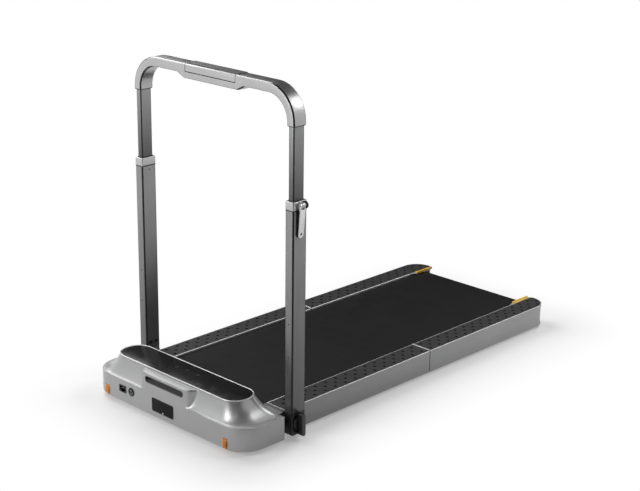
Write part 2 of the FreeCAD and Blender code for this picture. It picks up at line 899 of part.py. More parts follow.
def power_switch():
    """The rocker, tilted to its off side, with a pivot stub at each end."""
    radius = switch_bore - rocker_gap
    rocker = rod_y(-rocker_proud, rocker_depth, switch_middle, switch_height, radius)
    rocker = rocker.makeFillet(rocker_edge, edges_in_plane(rocker, V(0, 1, 0), -rocker_proud))
    half = switch_bore + rocker_pivot_reach
    rocker = rocker.fuse(rod_x(switch_middle - half, switch_middle + half, rocker_pivot_depth,
                               switch_height, rocker_pivot_radius))
    rocker.rotate(V(switch_middle, rocker_pivot_depth, switch_height), V(1, 0, 0), rocker_tilt)
    return rocker


def transport_wheel():
    """A transport wheel, made for the +X side."""
    half = wheel_width / 2
    wheel = rod_x(wheel_offset - half, wheel_offset + half, wheel_place, wheel_height, wheel_radius)
    rims = [edge for edge in wheel.Edges if isinstance(edge.Curve, Part.Circle)]
    wheel = wheel.makeFillet(wheel_edge, rims)
    return wheel.cut(rod_x(wheel_offset - half, wheel_offset + half, wheel_place, wheel_height,
                           wheel_axle_radius + running_fit))


def foot(x, y, seat):
    """A rubber foot from the floor to its seat."""
    pad = rod_z(0, seat, x, y, foot_radius)
    return pad.makeFillet(foot_edge, edges_in_plane(pad, V(0, 0, 1), 0))


def feet(places, seat):
    """A foot at each place and its mirror image."""
    pads = [foot(x, y, seat) for x, y in places]
    return pads + [mirrored(pad) for pad in pads]


# Uprights and their pivots, made for the +X side
def upright():
    """A lower handrail tube."""
    top = collar_top - collar_roof
    tube = tube_solid(upright_centre, upright_middle, upright_width, upright_depth, upright_corner,
                      upright_bottom, top)
    bore = tube_solid(upright_centre, upright_middle, upright_width - 2 * upright_wall,
                      upright_depth - 2 * upright_wall, upright_corner - upright_wall,
                      upright_bottom - overrun, top + overrun)
    tube = tube.cut(bore)
    for bolt in upright_bolts(bolt_shank_radius):
        tube = tube.cut(bolt)
    return tube


def pivot_shoe():
    """The foot of an upright: a plug in the tube, a box round the pivot and an oval recess for the knob."""
    inner = upright_inner + shoe_inset
    body = block(inner, shoe_outer, upright_front, upright_back, pivot_height - shoe_drop, upright_bottom)
    body = body.makeFillet(shoe_corner, edges_along(body, V(1, 0, 0), lambda spot: spot.z < pivot_height))
    plug = tube_solid(upright_centre, upright_middle, upright_width - 2 * (upright_wall + shoe_plug_gap),
                      upright_depth - 2 * (upright_wall + shoe_plug_gap), upright_corner - upright_wall,
                      upright_bottom, upright_bottom + shoe_plug_length)
    shoe = body.fuse(plug).removeSplitter()
    shoe = shoe.cut(rod_x(inner, shoe_outer, upright_middle, pivot_height, pivot_pin_radius + running_fit))
    rise = shoe_recess_tall / 2 - shoe_recess_radius
    bed = shoe_outer - shoe_recess_depth
    shoe = shoe.cut(block(bed, shoe_outer, upright_middle - shoe_recess_radius,
                          upright_middle + shoe_recess_radius, pivot_height - rise, pivot_height + rise))
    for end in (-1, 1):
        shoe = shoe.cut(rod_x(bed, shoe_outer, upright_middle, pivot_height + end * rise,
                              shoe_recess_radius))
    for bolt in upright_bolts(bolt_shank_radius):
        shoe = shoe.cut(bolt)
    return shoe


def upright_bolts(head_radius):
    """The two bolts through the inner wall of an upright into its plug."""
    bolts = []
    for side in (-1, 1):
        y = upright_middle + side * bolt_pitch / 2
        bolt = rod_x(upright_inner, upright_inner + bolt_length, y, bolt_height, bolt_shank_radius)
        head = rod_x(upright_inner - bolt_head_thick, upright_inner, y, bolt_height, head_radius)
        socket = rod_x(upright_inner - bolt_head_thick, upright_inner, y, bolt_height, bolt_socket_radius)
        bolts.append(bolt.fuse(head.cut(socket)))
    return bolts


def pivot_bracket():
    """A round spacer plate between the rail and an upright's foot."""
    outer = upright_inner + shoe_inset - bracket_gap
    plate = rod_x(rail_half_span, outer, upright_middle, pivot_height, bracket_radius)
    return plate.cut(rod_x(rail_half_span, outer, upright_middle, pivot_height, pivot_pin_radius))


def pivot_pin():
    """The pivot pin from inside the rail out into the knob."""
    wall = rail_half_span - rail_wall
    pin = rod_x(wall, upright_outer + pivot_pin_reach, upright_middle, pivot_height, pivot_pin_radius)
    return pin.fuse(rod_x(wall - pivot_head_thick, wall, upright_middle, pivot_height, pivot_head_radius))


def fold_knob():
    """The clamp knob: a disc in the shoe's recess and a long grip bar across it."""
    seat = shoe_outer - shoe_recess_depth + knob_gap
    face = upright_outer + knob_face
    disc = rod_x(seat, face, upright_middle, pivot_height, knob_radius)
    straight = (knob_bar_length - knob_bar_thick) / 2
    half = knob_bar_thick / 2
    bar = block(face, face + knob_bar_reach, upright_middle - half, upright_middle + half,
                pivot_height - straight, pivot_height + straight)
    for end in (-1, 1):
        middle = pivot_height + end * straight
        bar = bar.fuse(rod_x(face, face + knob_bar_reach, upright_middle, middle, half))
    bar = bar.removeSplitter()
    rim = edges_in_plane(bar, V(1, 0, 0), face + knob_bar_reach)
    bar = bar.makeFillet(half / 2, rim)
    knob = disc.fuse(bar)
    return knob.cut(rod_x(seat, upright_outer + pivot_pin_reach + knob_gap, upright_middle, pivot_height,
                          pivot_pin_radius + running_fit))


def collar():
    """The collar at the top of an upright."""
    body = tube_solid(upright_centre, upright_middle, upright_width + 2 * collar_lip,
                      upright_depth + 2 * collar_lip, collar_corner, collar_bottom, collar_top)
    seat = tube_solid(upright_centre, upright_middle, upright_width, upright_depth, upright_corner,
                      collar_bottom - overrun, collar_top - collar_roof)
    bore = tube_solid(upright_centre, upright_middle, inner_tube_width + 2 * slide_gap,
                      inner_tube_depth + 2 * slide_gap, inner_tube_corner,
                      collar_bottom - overrun, collar_top + overrun)
    return body.cut(seat).cut(bore)


def lever_lug():
    """The lug on the right collar that holds the lever's pin."""
    half = lug_width / 2
    y0 = upright_middle - half
    y1 = upright_middle + half
    lug = block(collar_outer, lever_axis, y0, y1, lever_pin_height - lug_radius,
                lever_pin_height + lug_radius)
    lug = lug.fuse(rod_y(y0, y1, lever_axis, lever_pin_height, lug_radius)).removeSplitter()
    return lug.cut(rod_y(y0, y1, lever_axis, lever_pin_height, lever_pin_radius))


def lever_pin():
    """The pin through the lug and the lever's fork."""
    reach = lever_width / 2 + lever_pin_overhang
    return rod_y(upright_middle - reach, upright_middle + reach, lever_axis, lever_pin_height,
                 lever_pin_radius)


def clamp_lever():
    """A forked flat lever that hangs beside the upright, with a hole near its free end."""
    half = lever_width / 2
    low = lever_pin_height - lever_length
    x0 = lever_axis - lever_thick / 2
    x1 = lever_axis + lever_thick / 2
    blade = block(x0, x1, upright_middle - half, upright_middle + half, low + half, lever_pin_height)
    blade = blade.fuse(rod_x(x0, x1, upright_middle, low + half, half))
    hub = rod_y(upright_middle - half, upright_middle + half, lever_axis, lever_pin_height,
                lever_hub_radius)
    lever = blade.fuse(hub).removeSplitter()
    throat = lug_width / 2 + lever_fork_gap
    lever = lever.cut(rod_y(upright_middle - throat, upright_middle + throat, lever_axis, lever_pin_height,
                            lever_plate_drop))
    lever = lever.cut(rod_x(x0, x1, upright_middle, low + lever_hole_inset, lever_hole_radius))
    return lever.cut(rod_y(upright_middle - half, upright_middle + half, lever_axis, lever_pin_height,
                           lever_pin_radius + running_fit))


def glide_bush():
    """A plastic liner in the top of an upright that guides the inner tube."""
    top = collar_top - collar_roof
    low = top - bush_length
    body = tube_solid(upright_centre, upright_middle, upright_width - 2 * upright_wall,
                      upright_depth - 2 * upright_wall, upright_corner - upright_wall, low, top)
    bore = tube_solid(upright_centre, upright_middle, inner_tube_width + 2 * slide_gap,
                      inner_tube_depth + 2 * slide_gap, inner_tube_corner, low, top)
    return body.cut(bore)


def inner_tube():
    """A sliding inner tube."""
    tube = tube_solid(upright_centre, upright_middle, inner_tube_width, inner_tube_depth, inner_tube_corner,
                      inner_tube_bottom, socket_top)
    bore = tube_solid(upright_centre, upright_middle, inner_tube_width - 2 * inner_tube_wall,
                      inner_tube_depth - 2 * inner_tube_wall, inner_tube_corner - inner_tube_wall,
                      inner_tube_bottom, socket_top)
    return tube.cut(bore)


# Handle bow
def bow_outline(inset, y):
    """The bow seen from the front: two legs, round corners and a deeper middle."""
    outer = handle_half_span - inset
    inner = handle_half_span - handle_bar + inset
    top = handle_top - inset
    under = handle_top - handle_bar + inset
    centre_x = handle_half_span - handle_corner
    centre_z = handle_top - handle_corner
    large_bend = (handle_corner - inset) * diagonal_share
    small_bend = (handle_corner - handle_bar + inset) * diagonal_share
    drop = under - module_drop
    flat = module_half_length - inset
    slope = flat + module_slope

    def spot(x, z):
        return V(x, y, z)

    right = [spot(inner, handle_bottom), spot(outer, handle_bottom), spot(outer, centre_z)]
    right.append((spot(centre_x + large_bend, centre_z + large_bend), spot(centre_x, top)))
    left = [spot(-centre_x, top)]
    left.append((spot(-centre_x - large_bend, centre_z + large_bend), spot(-outer, centre_z)))
    left += [spot(-outer, handle_bottom), spot(-inner, handle_bottom), spot(-inner, centre_z)]
    left.append((spot(-centre_x - small_bend, centre_z + small_bend), spot(-centre_x, under)))
    middle = [spot(-slope, under), spot(-flat, drop), spot(flat, drop), spot(slope, under)]
    middle.append(spot(centre_x, under))
    middle.append((spot(centre_x + small_bend, centre_z + small_bend), spot(inner, centre_z)))
    return closed_wire(right + left + middle)


def handle_bow():
    """The hollow handle bow with sockets for the inner tubes and a pocket for the flap."""
    bow = Part.Face(bow_outline(0, handle_front)).extrude(V(0, handle_depth, 0))
    rims = edges_in_plane(bow, V(0, 1, 0), handle_front) + edges_in_plane(bow, V(0, 1, 0), handle_back)
    rims = [edge for edge in rims if edge.CenterOfMass.z > handle_bottom]
    bow = bow.makeFillet(handle_edge, rims)
    hollow = Part.Face(bow_outline(handle_wall, handle_front + handle_wall))
    hollow = hollow.extrude(V(0, handle_depth - 2 * handle_wall, 0))
    span = handle_half_span + overrun
    hollow = hollow.cut(block(-span, span, handle_front, handle_back, handle_bottom - overrun, socket_top))
    flap_room = flap_thick + flap_gap
    ends = flap_half_length + handle_wall
    roof = block(-ends, ends, handle_front, handle_front + flap_room + handle_wall,
                 flap_bottom - flap_gap - handle_wall, handle_top)
    hollow = hollow.cut(roof)
    bow = bow.cut(hollow)
    for side in (-1, 1):
        bow = bow.cut(tube_solid(side * upright_centre, upright_middle, inner_tube_width, inner_tube_depth,
                                 inner_tube_corner, handle_bottom - overrun, socket_top))
    pocket = block(-flap_half_length, flap_half_length, handle_front - overrun, handle_front + flap_room,
                   flap_bottom - flap_gap, handle_top + overrun)
    bow = bow.cut(pocket)
    reach = flap_half_length + flap_pin_reach
    bow = bow.cut(rod_x(-reach, reach, handle_front + flap_thick / 2, flap_bottom + flap_thick / 2,
                        flap_pin_radius + running_fit))
    return bow.cut(handle_pad())


def handle_pad():
    """A dark pad let into the top of the handle."""
    top = handle_top + pad_rise
    pad = plan_solid(-pad_half_length, pad_half_length, handle_front + pad_front_inset,
                     handle_back - pad_back_inset, [pad_rise] * 4, handle_top - pad_sink, top)
    return pad.makeFillet(pad_rise / 2, edges_in_plane(pad, V(0, 0, 1), top))


def device_flap():
    """The flap that swings forward to hold a phone, with a pivot stub at each end."""
    half = flap_half_length - flap_gap
    axis_y = handle_front + flap_thick / 2
    axis_z = flap_bottom + flap_thick / 2
    plate = block(-half, half, handle_front, handle_front + flap_thick, axis_z, handle_top)
    corner = edges_along(plate, V(1, 0, 0), lambda spot: spot.z > axis_z and spot.y < axis_y)
    plate = plate.makeFillet(min(handle_edge, flap_thick - flap_gap), corner)
    plate = plate.fuse(rod_x(-half, half, axis_y, axis_z, flap_thick / 2))
    reach = flap_half_length + flap_pin_reach - flap_gap
    return plate.fuse(rod_x(-reach, reach, axis_y, axis_z, flap_pin_radius))


# Rear details
def end_marker():
    """An amber wedge on the ear of a rail's rear end, made for the +X side."""
    end = deck_end - marker_end_inset
    start = end - marker_length
    brink = rail_inner - ear_reach
    face = brink - marker_thick
    outer = rail_inner + rail_wall
    crest = rail_top + marker_rise
    low = rail_top - ear_thick
    section = [V(brink, start, rail_top), V(outer, start, rail_top), V(face + marker_crest, start, crest),
               V(face, start, crest), V(face, start, low), V(brink, start, low)]
    wedge = Part.Face(closed_wire(section)).extrude(V(0, marker_length, 0))
    ends = block(face, outer, start, end, low, crest)
    ends = ends.makeFillet(marker_round, edges_along(ends, V(1, 0, 0), lambda spot: spot.z > rail_top))
    return wedge.common(ends)


def front_frame():
    """The front frame, bored for the front axle."""
    welded = frame(beam_front, fold_line - seam,
                   front_roller_place + belt_bend + board_roller_gap + crossbar_depth,
                   fold_line - seam - crossbar_end_gap - crossbar_depth / 2, crossbar_front_count)
    return welded.cut(axle(front_roller_place)).removeSplitter()


def rear_frame():
    """The rear frame, with slots for the axle and end plates for the tension bolts."""
    end = deck_end - beam_rear_clear
    welded = frame(fold_line + seam, end, fold_line + seam + crossbar_end_gap + crossbar_depth / 2,
                   rear_roller_place - belt_bend - board_roller_gap - crossbar_depth, crossbar_rear_count)
    for side in (-1, 1):
        x0 = min(side * beam_inner, side * beam_outer)
        welded = welded.fuse(block(x0, x0 + beam_width, end - tension_plate, end, beam_bottom, beam_top))
    bolt = tension_bolt()
    return welded.cut(axle(rear_roller_place)).cut(bolt).cut(mirrored(bolt)).removeSplitter()


os.makedirs("parts", exist_ok=True)
front_end = fold_line - seam
rear_start = fold_line + seam
front_rail = side_rail(rail_start, front_end, False).cut(pivot_pin())
rear_rail = side_rail(rear_start, deck_end, True)
front_plate = foot_plate(rail_start, fold_line - foot_plate_setback, False)
rear_plate = foot_plate(fold_line + foot_plate_setback, deck_end, True)
pairs = {
    "side_rail_front": front_rail,
    "side_rail_rear": rear_rail,
    "foot_plate_front": front_plate,
    "foot_plate_rear": rear_plate,
    "upright": upright(),
    "fold_knob": fold_knob(),
    "inner_tube": inner_tube(),
    "transport_wheel": transport_wheel(),
}
for name, piece in pairs.items():
    save(name + "_right", piece.copy())
    save(name + "_left", mirrored(piece))

groups = {
    "rail_front_caps": rail_front_cap(),
    "hinge_leaves_front": hinge_leaf(0, hinge_pin_radius, -1),
    "hinge_leaves_rear": hinge_leaf(1, hinge_pin_radius + running_fit, 1),
    "hinge_pins": hinge_pin(),
    "wheel_axles": axle_of_wheel(),
    "pivot_brackets": pivot_bracket(),
    "pivot_pins": pivot_pin(),
    "glide_bushes": glide_bush(),
    "pivot_shoes": pivot_shoe(),
    "end_markers": end_marker(),
    "tension_bolts": tension_bolt(),
}
for name, piece in groups.items():
    save(name, piece.copy(), mirrored(piece))

bolts = upright_bolts(bolt_head_radius)
save("upright_bolts", *bolts, *[mirrored(bolt) for bolt in bolts])
front_places = [(foot_line, rail_start + foot_end_inset), (foot_line, front_end - foot_end_inset)]
rear_places = [(foot_line, rear_start + foot_end_inset),
               (foot_line, deck_end - end_pocket - foot_end_inset)]
hood_places = [(hood_foot_line, hood_foot_place)]
save("feet_front", *feet(front_places, rail_bottom), *feet(hood_places, hood_bottom))
save("feet_rear", *feet(rear_places, rail_bottom))

save("front_frame", front_frame())
save("rear_frame", rear_frame())
board_end_gap = belt_bend + board_roller_gap
save("deck_board_front", board(front_roller_place + board_end_gap, fold_line - board_fold_gap))
save("deck_board_rear", board(fold_line + board_fold_gap, rear_roller_place - board_end_gap))
save("walking_belt_front", walking_belt(fold_line - belt_fold_gap, front_roller_place))
save("walking_belt_rear", walking_belt(fold_line + belt_fold_gap, rear_roller_place))
save("front_roller", front_roller())
save("rear_roller", roller(rear_roller_place))
save("front_axle", axle(front_roller_place))
save("rear_axle", axle(rear_roller_place))
save("motor_housing", motor_housing())
save("motor_rotor", motor_rotor())
save("drive_belt", drive_belt())
save("control_box", control_box())
save("hood_skirt", hood_skirt())
save("hood_cover", hood_cover())
save("console_rim", console_rim())
save("console_panel", console_panel())
save("grip_liner", grip_liner())
save("service_plate", service_plate())
save("power_inlet", power_inlet())
save("switch_bezel", switch_bezel())
save("power_switch", power_switch())
save("collar_left", mirrored(collar()))
save("collar_right", collar().fuse(lever_lug()))
save("lever_pin", lever_pin())
save("clamp_lever", clamp_lever())
save("handle_bow", handle_bow())
save("handle_pad", handle_pad())
save("device_flap", device_flap())
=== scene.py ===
import json
import math

import bmesh
import bpy
from mathutils import Matrix, Vector


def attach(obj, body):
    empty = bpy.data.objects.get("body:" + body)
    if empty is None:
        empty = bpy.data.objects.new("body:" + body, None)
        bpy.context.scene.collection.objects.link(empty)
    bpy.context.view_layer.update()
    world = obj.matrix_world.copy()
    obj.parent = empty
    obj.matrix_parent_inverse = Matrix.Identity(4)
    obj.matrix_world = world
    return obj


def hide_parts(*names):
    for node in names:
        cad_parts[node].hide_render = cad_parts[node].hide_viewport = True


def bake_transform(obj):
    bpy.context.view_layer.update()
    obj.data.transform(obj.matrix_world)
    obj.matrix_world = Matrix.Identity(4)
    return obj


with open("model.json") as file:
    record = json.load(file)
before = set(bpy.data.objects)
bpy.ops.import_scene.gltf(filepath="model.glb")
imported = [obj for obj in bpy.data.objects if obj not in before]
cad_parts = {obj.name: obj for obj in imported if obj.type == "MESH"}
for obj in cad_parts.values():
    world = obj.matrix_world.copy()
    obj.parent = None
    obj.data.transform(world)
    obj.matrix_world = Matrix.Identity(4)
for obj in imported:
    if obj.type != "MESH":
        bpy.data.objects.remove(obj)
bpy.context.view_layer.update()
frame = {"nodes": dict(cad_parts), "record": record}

# Looks of a folding walking pad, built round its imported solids.
# Sizes are millimetres. X is across the deck, Y runs from the hood's front face to the rear,
# Z is up from the floor. place() turns them into the frame's metres.
MM = 0.001
PART_MIDDLE = 729.25
SIDES = ("right", "left")

# Making of meshes: points closer than this are one (metres), edges sharper than this stay sharp
# (degrees), cutters run this far past what they cut, and a sharp corner of a loop is drawn in by no
# more than the inset over the least lean
MERGE = 1e-6
SHARP = 34.0
HOOD_SHARP = 40.0
OVERRUN = 5.0
LEAST_LEAN = 0.5

# Steps of a rounded edge, of corners from the smallest to the largest, and of turned forms
EASE_STEPS = 4
TINY_STEPS = 3
SMALL_STEPS = 4
TUBE_STEPS = 6
CORNER_STEPS = 8
GRIP_STEPS = 10
LARGE_STEPS = 16
HOOD_STEPS = 24
SCREW_TURN = 20
RING_TURN = 24
HUB_TURN = 32
COVER_TURN = 40
ROUND_TURN = 48
WHEEL_TURN = 64

# Edges too small to measure
HAIR_EDGE = 0.3
FINE_EDGE = 0.4
THIN_EDGE = 0.5
SOFT_EDGE = 0.6
FULL_EDGE = 0.8

# Camera of the photograph: focal length in pixels, angles in degrees
PICTURE_WIDTH = 640
SENSOR_WIDTH = 36.0
FOCAL_PIXELS = 1471.24
CAMERA_PLACE = (3018.4, -2488.5, 1831.1)
CAMERA_YAW = 43.972
CAMERA_PITCH = 18.213
CAMERA_ROLL = 0.738

# Floor, in metres: half the part's rectangle on it, how far outside that it starts to fade to plain
# white, where it is all white as looked at and as mirrored, and the white that is mixed in everywhere
FLOOR_REACH = 14.0
FLOOR_HALF = (0.30, 0.72, 0.0)
FLOOR_NEAR = 0.01
FLOOR_FAR = 0.28
FLOOR_FAR_MIRRORED = 2.6
FLOOR_LIFT = 0.3
FLOOR_PALE = 0.93
FLOOR_ROUGHNESS = 0.9

# Light, in metres and watts: the sky's level, lamps and dark cards with their place and target,
# the lamps' size and power, the cards' width and height
SKY_LEVEL = 0.055
LAMPS = (("key", (-1.63, -0.25, 1.98), (0.0, -0.25, 0.35), 2.0, 46.0),
         ("front", (-0.3, -2.3, 1.2), (0.0, -0.5, 0.7), 0.9, 16.0),
         ("side", (1.15, 0.9, 1.98), (0.0, -0.25, 0.35), 0.9, 13.0),
         ("back", (0.0, 1.7, 1.7), (0.0, 0.0, 0.3), 0.9, 13.0))
FLAGS = (("flag_back", (-3.0, 3.0, 1.8), (0.0, 0.0, 0.4), 8.0, 3.6),
         ("flag_top", (0.6, 0.6, 3.2), (0.6, 0.6, 0.0), 6.0, 6.0),
         ("flag_front", (4.4, -4.6, 1.6), (0.0, 0.0, 0.5), 2.6, 4.0),
         ("flag_near", (1.15, -1.37, 0.6), (0.0, 0.0, 0.4), 2.0, 1.3))
FLAG_DARK = 0.02
FLAG_ROUGHNESS = 0.9

# Materials: what noise mostly lies between, the usual shine, and a colour mix's sockets by number
NOISE_LOW = 0.3
NOISE_HIGH = 0.7
SHINE = 0.5
MIX_SHARE = 0
MIX_FIRST = 6
MIX_SECOND = 7
MIX_COLOUR = 2

# Textures: the noise's scale and detail, and what it changes. Clouds, flakes, lines, specks, scuffs and
# fibres change the colour by a share, wear the roughness down and up, a grain or peel the height in
# millimetres. A run is noise's stretch along Y. MOULD_GRAIN is a scale and a height, its detail apart.
FLAKES = (2600.0, 1.0, 0.07)
PAINT_CLOUDS = (9.0, 3.0, 0.03)
PAINT_WEAR = (22.0, 4.0, 0.03, 0.04)
ORANGE_PEEL = (420.0, 2.0, 0.012)
DRAWN_LINES = (1500.0, 3.0, 0.08)
DRAWN_DEPTH = 0.008
DRAWN_STRETCH = 0.012
DRAWN_CLOUDS = (7.0, 3.0, 0.04)
DRAWN_WEAR = (500.0, 3.0, 0.05, 0.06)
MOULD_CLOUDS = (14.0, 4.0, 0.12)
MOULD_WEAR = (30.0, 4.0, 0.06, 0.06)
MOULD_GRAIN = (1100.0, 0.03)
MOULD_DETAIL = 2.0
TREAD_CLOUDS = (12.0, 4.0, 0.1)
TREAD_SPECKS = (900.0, 1.0, 0.14)
TREAD_WEAR = (40.0, 3.0, 0.05, 0.07)
TREAD_GRAIN = (800.0, 2.0, 0.06)
TREAD_SHINE = 0.25
BELT_CLOUDS = (6.0, 4.0, 0.1)
BELT_SCUFFS = (160.0, 2.0, 0.07)
BELT_RUN = (1, 0.03, 1)
BELT_WEAR = (18.0, 4.0, 0.05, 0.05)
BELT_HATCH = 120.0
BELT_HATCH_TURN = 45
BELT_HATCH_DEPTH = 0.12
BELT_HATCH_STRENGTH = 0.6
BELT_SHINE = 0.15
WOOD_FIBRES = (300.0, 4.0, 0.25)
WOOD_RUN = (1, 0.06, 1)
WOOD_WEAR = (60.0, 3.0, 0.08, 0.08)
WOOD_GRAIN = (700.0, 3.0, 0.05)

# Fades paint light and shade into a colour: an axis of the frame, two places on it in millimetres, and the
# colour's share at each. The handle's painted shade on its upward faces is over the slope: where it starts,
# and the share on a flat top.
RAIL_PAINTED_SHADING = ("Y", -400.0, 600.0, 0.84, 1.25)
UPRIGHT_PAINTED_SHADING = ("Z", 90.0, 560.0, 0.55, 1.22)
SLIDE_PAINTED_SHADING = ("Z", 700.0, 900.0, 0.42, 1.3)
HANDLE_TOP_PAINTED_SHADE = (0.5, 0.38)

# Deck
FOLD_LINE = 834.0
SEAM = 1.4
DECK_END = 1463.0
RAIL_START = 200.0
RAIL_INNER = 223.0
RAIL_OUTER = 299.0
RAIL_BOTTOM = 8.0
RAIL_TOP = 80.0
RAIL_WALL = 3.0
RAIL_EDGE = 1.2
# Faces on the rails' top edge turned upward past this share take the painted highlight
RAIL_HIGHLIGHT_SLOPE = 0.3
RAIL_CORNER = 62.0
RAIL_INNER_CORNER = 12.0
RAIL_HEEL = 28.0
CAP_DEPTH = 12.0
CAP_NOSE = 163.0
CAP_NOSE_TOP = 73.6
CAP_RIDGE = 2.4
CAP_GROOVE = 1.2
CAP_SOFT = 0.4
CAP_STEP = 71.4
PLATE_SEAT = 76.0
PLATE_GAP = 0.2
PLATE_SETBACK = 4.0
TREAD_EDGE = 0.5
# Lanes of dimples: distance from the rail's middle, and shift along the rail as a share of the pitch
DIMPLE_LANES = ((-20.5, 0.5), (0.0, 0.0), (20.5, 0.5))
DIMPLE_PITCH = 43.4
DIMPLE_RADIUS = 5.0
DIMPLE_DEPTH = 2.0
DIMPLE_STEPS = 5
DIMPLE_FLOOR = 0.5
END_POCKET = 14.0
BEAM_INNER = 238.0
BEAM_OUTER = 272.0
BEAM_FRONT = 50.0
EAR_REACH = 9.0
EAR_THICK = 4.0
EAR_TAPER = 32.0
EAR_EDGE = 0.6
MARKER_LENGTH = 85.0
MARKER_INSET = 10.0
MARKER_RISE = 5.0
MARKER_ROUND = 4.5
MARKER_CREST = 4.0
MARKER_FOOT = 0.4
MARKER_THICK = 0.8
MARKER_RIBS = 9
MARKER_RIB_STEPS = 8
MARKER_RIB = 0.9
MARKER_SOFT = 0.7
GUARD_INSIDE = 1.0
GUARD_THICK = 2.0
GUARD_START = 1366.0
GUARD_END = 1447.0
GUARD_LOW = 13.0
GUARD_HIGH = 72.0
GUARD_CORNER = 4.0
GUARD_SCREW = (1424.0, 68.0)
# Profile of the guards' screws: radius, and depth into the guard, below zero where it stands out
GUARD_SCREW_PROFILE = ((2.8, 1.0), (2.8, -0.6), (2.2, -0.9), (0.7, -1.0))

# Walking belt
BELT_HALF_WIDTH = 220.0
BELT_THICK = 2.0
BELT_TOP = 73.4
BELT_EDGE = 0.6
BELT_RUN_STEPS = 24
BELT_TURN = 32
BELT_FOLD_STEP = 0.875
BELT_FOLD_STEPS = 12
ROLLER_HEIGHT = 51.1
FRONT_ROLLER = 128.0
REAR_ROLLER = 1412.0
AXLE_HOLE = 6.5

# Hood
HOOD_HALF_WIDTH = 335.0
HOOD_DEPTH = 162.0
HOOD_BOTTOM = 12.0
SHOULDER = 82.0
HOOD_CORNER = 78.0
HOOD_BACK_CORNER = 5.0
HOOD_EDGE = 3.0
FLARE_TOP = 138.0
FLARE_HOLLOW = 0.65
FLARE_STEPS = 60
FLARE_FIRST = 3
HOLLOW_STEPS = 12
CONSOLE_HALF = 267.5
CONSOLE_FRONT = 29.0
CONSOLE_BACK = 135.0
CONSOLE_END_FLAT = 3.0
CONSOLE_TOP = 142.0
RIM_WIDTH = 4.5
RIM_EDGE = 1.2
BOSS_HALF = 103.0
BOSS_SPREAD = 15.0
BOSS_DEPTH = 32.0
BOSS_EDGE = 7.0
BOSS_SIDE_BLEND = 18.0
BOSS_ROOT_BLEND = 10.0
BOSS_DENSE = (90.0, 126.0)
BOSS_DENSE_STEPS = 36
SHOULDER_EDGE = 1.2
# Faces turned upward past this share, in this band about the shoulder or on the boss's lip, take the hood's
# painted shade
HOOD_SHADE_SLOPE = 0.2
HOOD_SHADE_BAND = 1.6
HOOD_WALL = 3.0
HOOD_FLOOR = 4.0
HOOD_DOOR = 301.0
PANEL_GAP = 0.2
PANEL_SEAT = 139.5
PANEL_TOP = 141.5
PANEL_EDGE = 0.4
MARKS = ((-45.0, 90.0), (-4.0, 95.0), (45.0, 93.0))
MARK_SIZE = 5.0
MARK_LINE = 1.0
MARK_RISE = 0.1
GRIP_HALF = 84.0
GRIP_LOW = 109.0
GRIP_HIGH = 130.0
GRIP_CORNER = 9.45
GRIP_DEPTH = 25.0
GRIP_WALL = 2.0
GRIP_FILLET = 2.6
GRIP_LIP = 0.9
PLATE = (-54.0, 42.0, 28.0, 70.0)
PLATE_CORNER = 5.0
PLATE_THICK = 1.0
PLATE_BORDER = 2.5
PLATE_LINE = 0.6
DOT = (-4.0, 33.0)
DOT_RADIUS = 2.8
INLET = (-189.0, 53.5)
INLET_HALF = (16.0, 11.5)
INLET_HOLE = (14.0, 9.5)
INLET_CORNER = 2.5
INLET_HOLE_CORNER = 1.0
INLET_FLANGE = 1.5
INLET_DEPTH = 16.0
MOUTH_HALF = (12.25, 8.0)
MOUTH_CORNER = 5.0
MOUTH_DEPTH = 13.0
MOUTH_FLARE = 1.0
PIN_WIDTH = 2.0
PIN_TALL = 4.0
PIN_PITCH = 7.0
PIN_LENGTH = 10.0
PIN_LIFT = 2.0
SWITCH = (-148.5, 55.0)
SWITCH_RADIUS = 13.6
SWITCH_BODY = 12.6
SWITCH_BORE = 10.2
SWITCH_PROUD = 1.5
SWITCH_ROUND = 0.9
SWITCH_BEVEL = 0.8
SWITCH_DEPTH = 15.0
SWITCH_FLOOR = 3.0
ROCKER_RADIUS = 9.7
ROCKER_PROUD = 2.0
ROCKER_DEPTH = 5.0
ROCKER_EDGE = 0.5
ROCKER_DISH = 1.2
ROCKER_RINGS = (0.8, 0.6, 0.4, 0.2)
ROCKER_PIVOT = 2.5
ROCKER_TILT = 7.0
# The rocker's marks: place off its middle, the dish's depth there, what stands out of and in the
# dish, the edge, half the stroke's size, and the ring's radius and line
ROCKER_MARK = 5.2
ROCKER_MARK_DISH = 0.66
ROCKER_MARK_PROUD = 0.6
ROCKER_MARK_ROOT = 0.8
ROCKER_MARK_EDGE = 0.1
ROCKER_STROKE = (0.5, 2.0)
ROCKER_RING = 2.2
ROCKER_RING_LINE = 0.8
WHEEL_X = 261.0
WHEEL_Y = 19.5
WHEEL_Z = 29.0
WHEEL_RADIUS = 24.0
WHEEL_WIDTH = 15.0
WHEEL_EDGE = 2.5
WHEEL_EDGE_STEPS = 6
WHEEL_GROOVE = 1.0
WHEEL_HUB = 9.0
WHEEL_HUB_BEVEL = 1.0
WHEEL_DISH = 2.0
WHEEL_BORE = 4.05
WHEEL_SLOT = 8.3
WHEEL_GAP = 2.0

# Handrail
UPRIGHT_X = 319.25
UPRIGHT_Y = 214.0
UPRIGHT_WIDTH = 31.5
UPRIGHT_DEPTH = 52.0
UPRIGHT_LOW = 81.0
UPRIGHT_HIGH = 699.0
UPRIGHT_WALL = 2.0
UPRIGHT_CORNER = 4.0
# Faces turned this far from both sides of a tube take the painted dark reflection on its corners
CORNER_TURN = 0.12
COLLAR_LOW = 679.0
COLLAR_HIGH = 704.0
COLLAR_LIP = 1.0
COLLAR_CORNER = 5.0
COLLAR_EDGE = 1.5
SEAL_LIP = 0.6
SEAL_RISE = 0.8
SEAL_DROP = 2.4
SEAL_SHRINK = 1.0
WIPER_LIP = 3.0
SLIDE_GAP = 0.25
SCREW_HEIGHTS = (250.0, 349.0)
SIDE_SCREW = (216.0, 665.0)
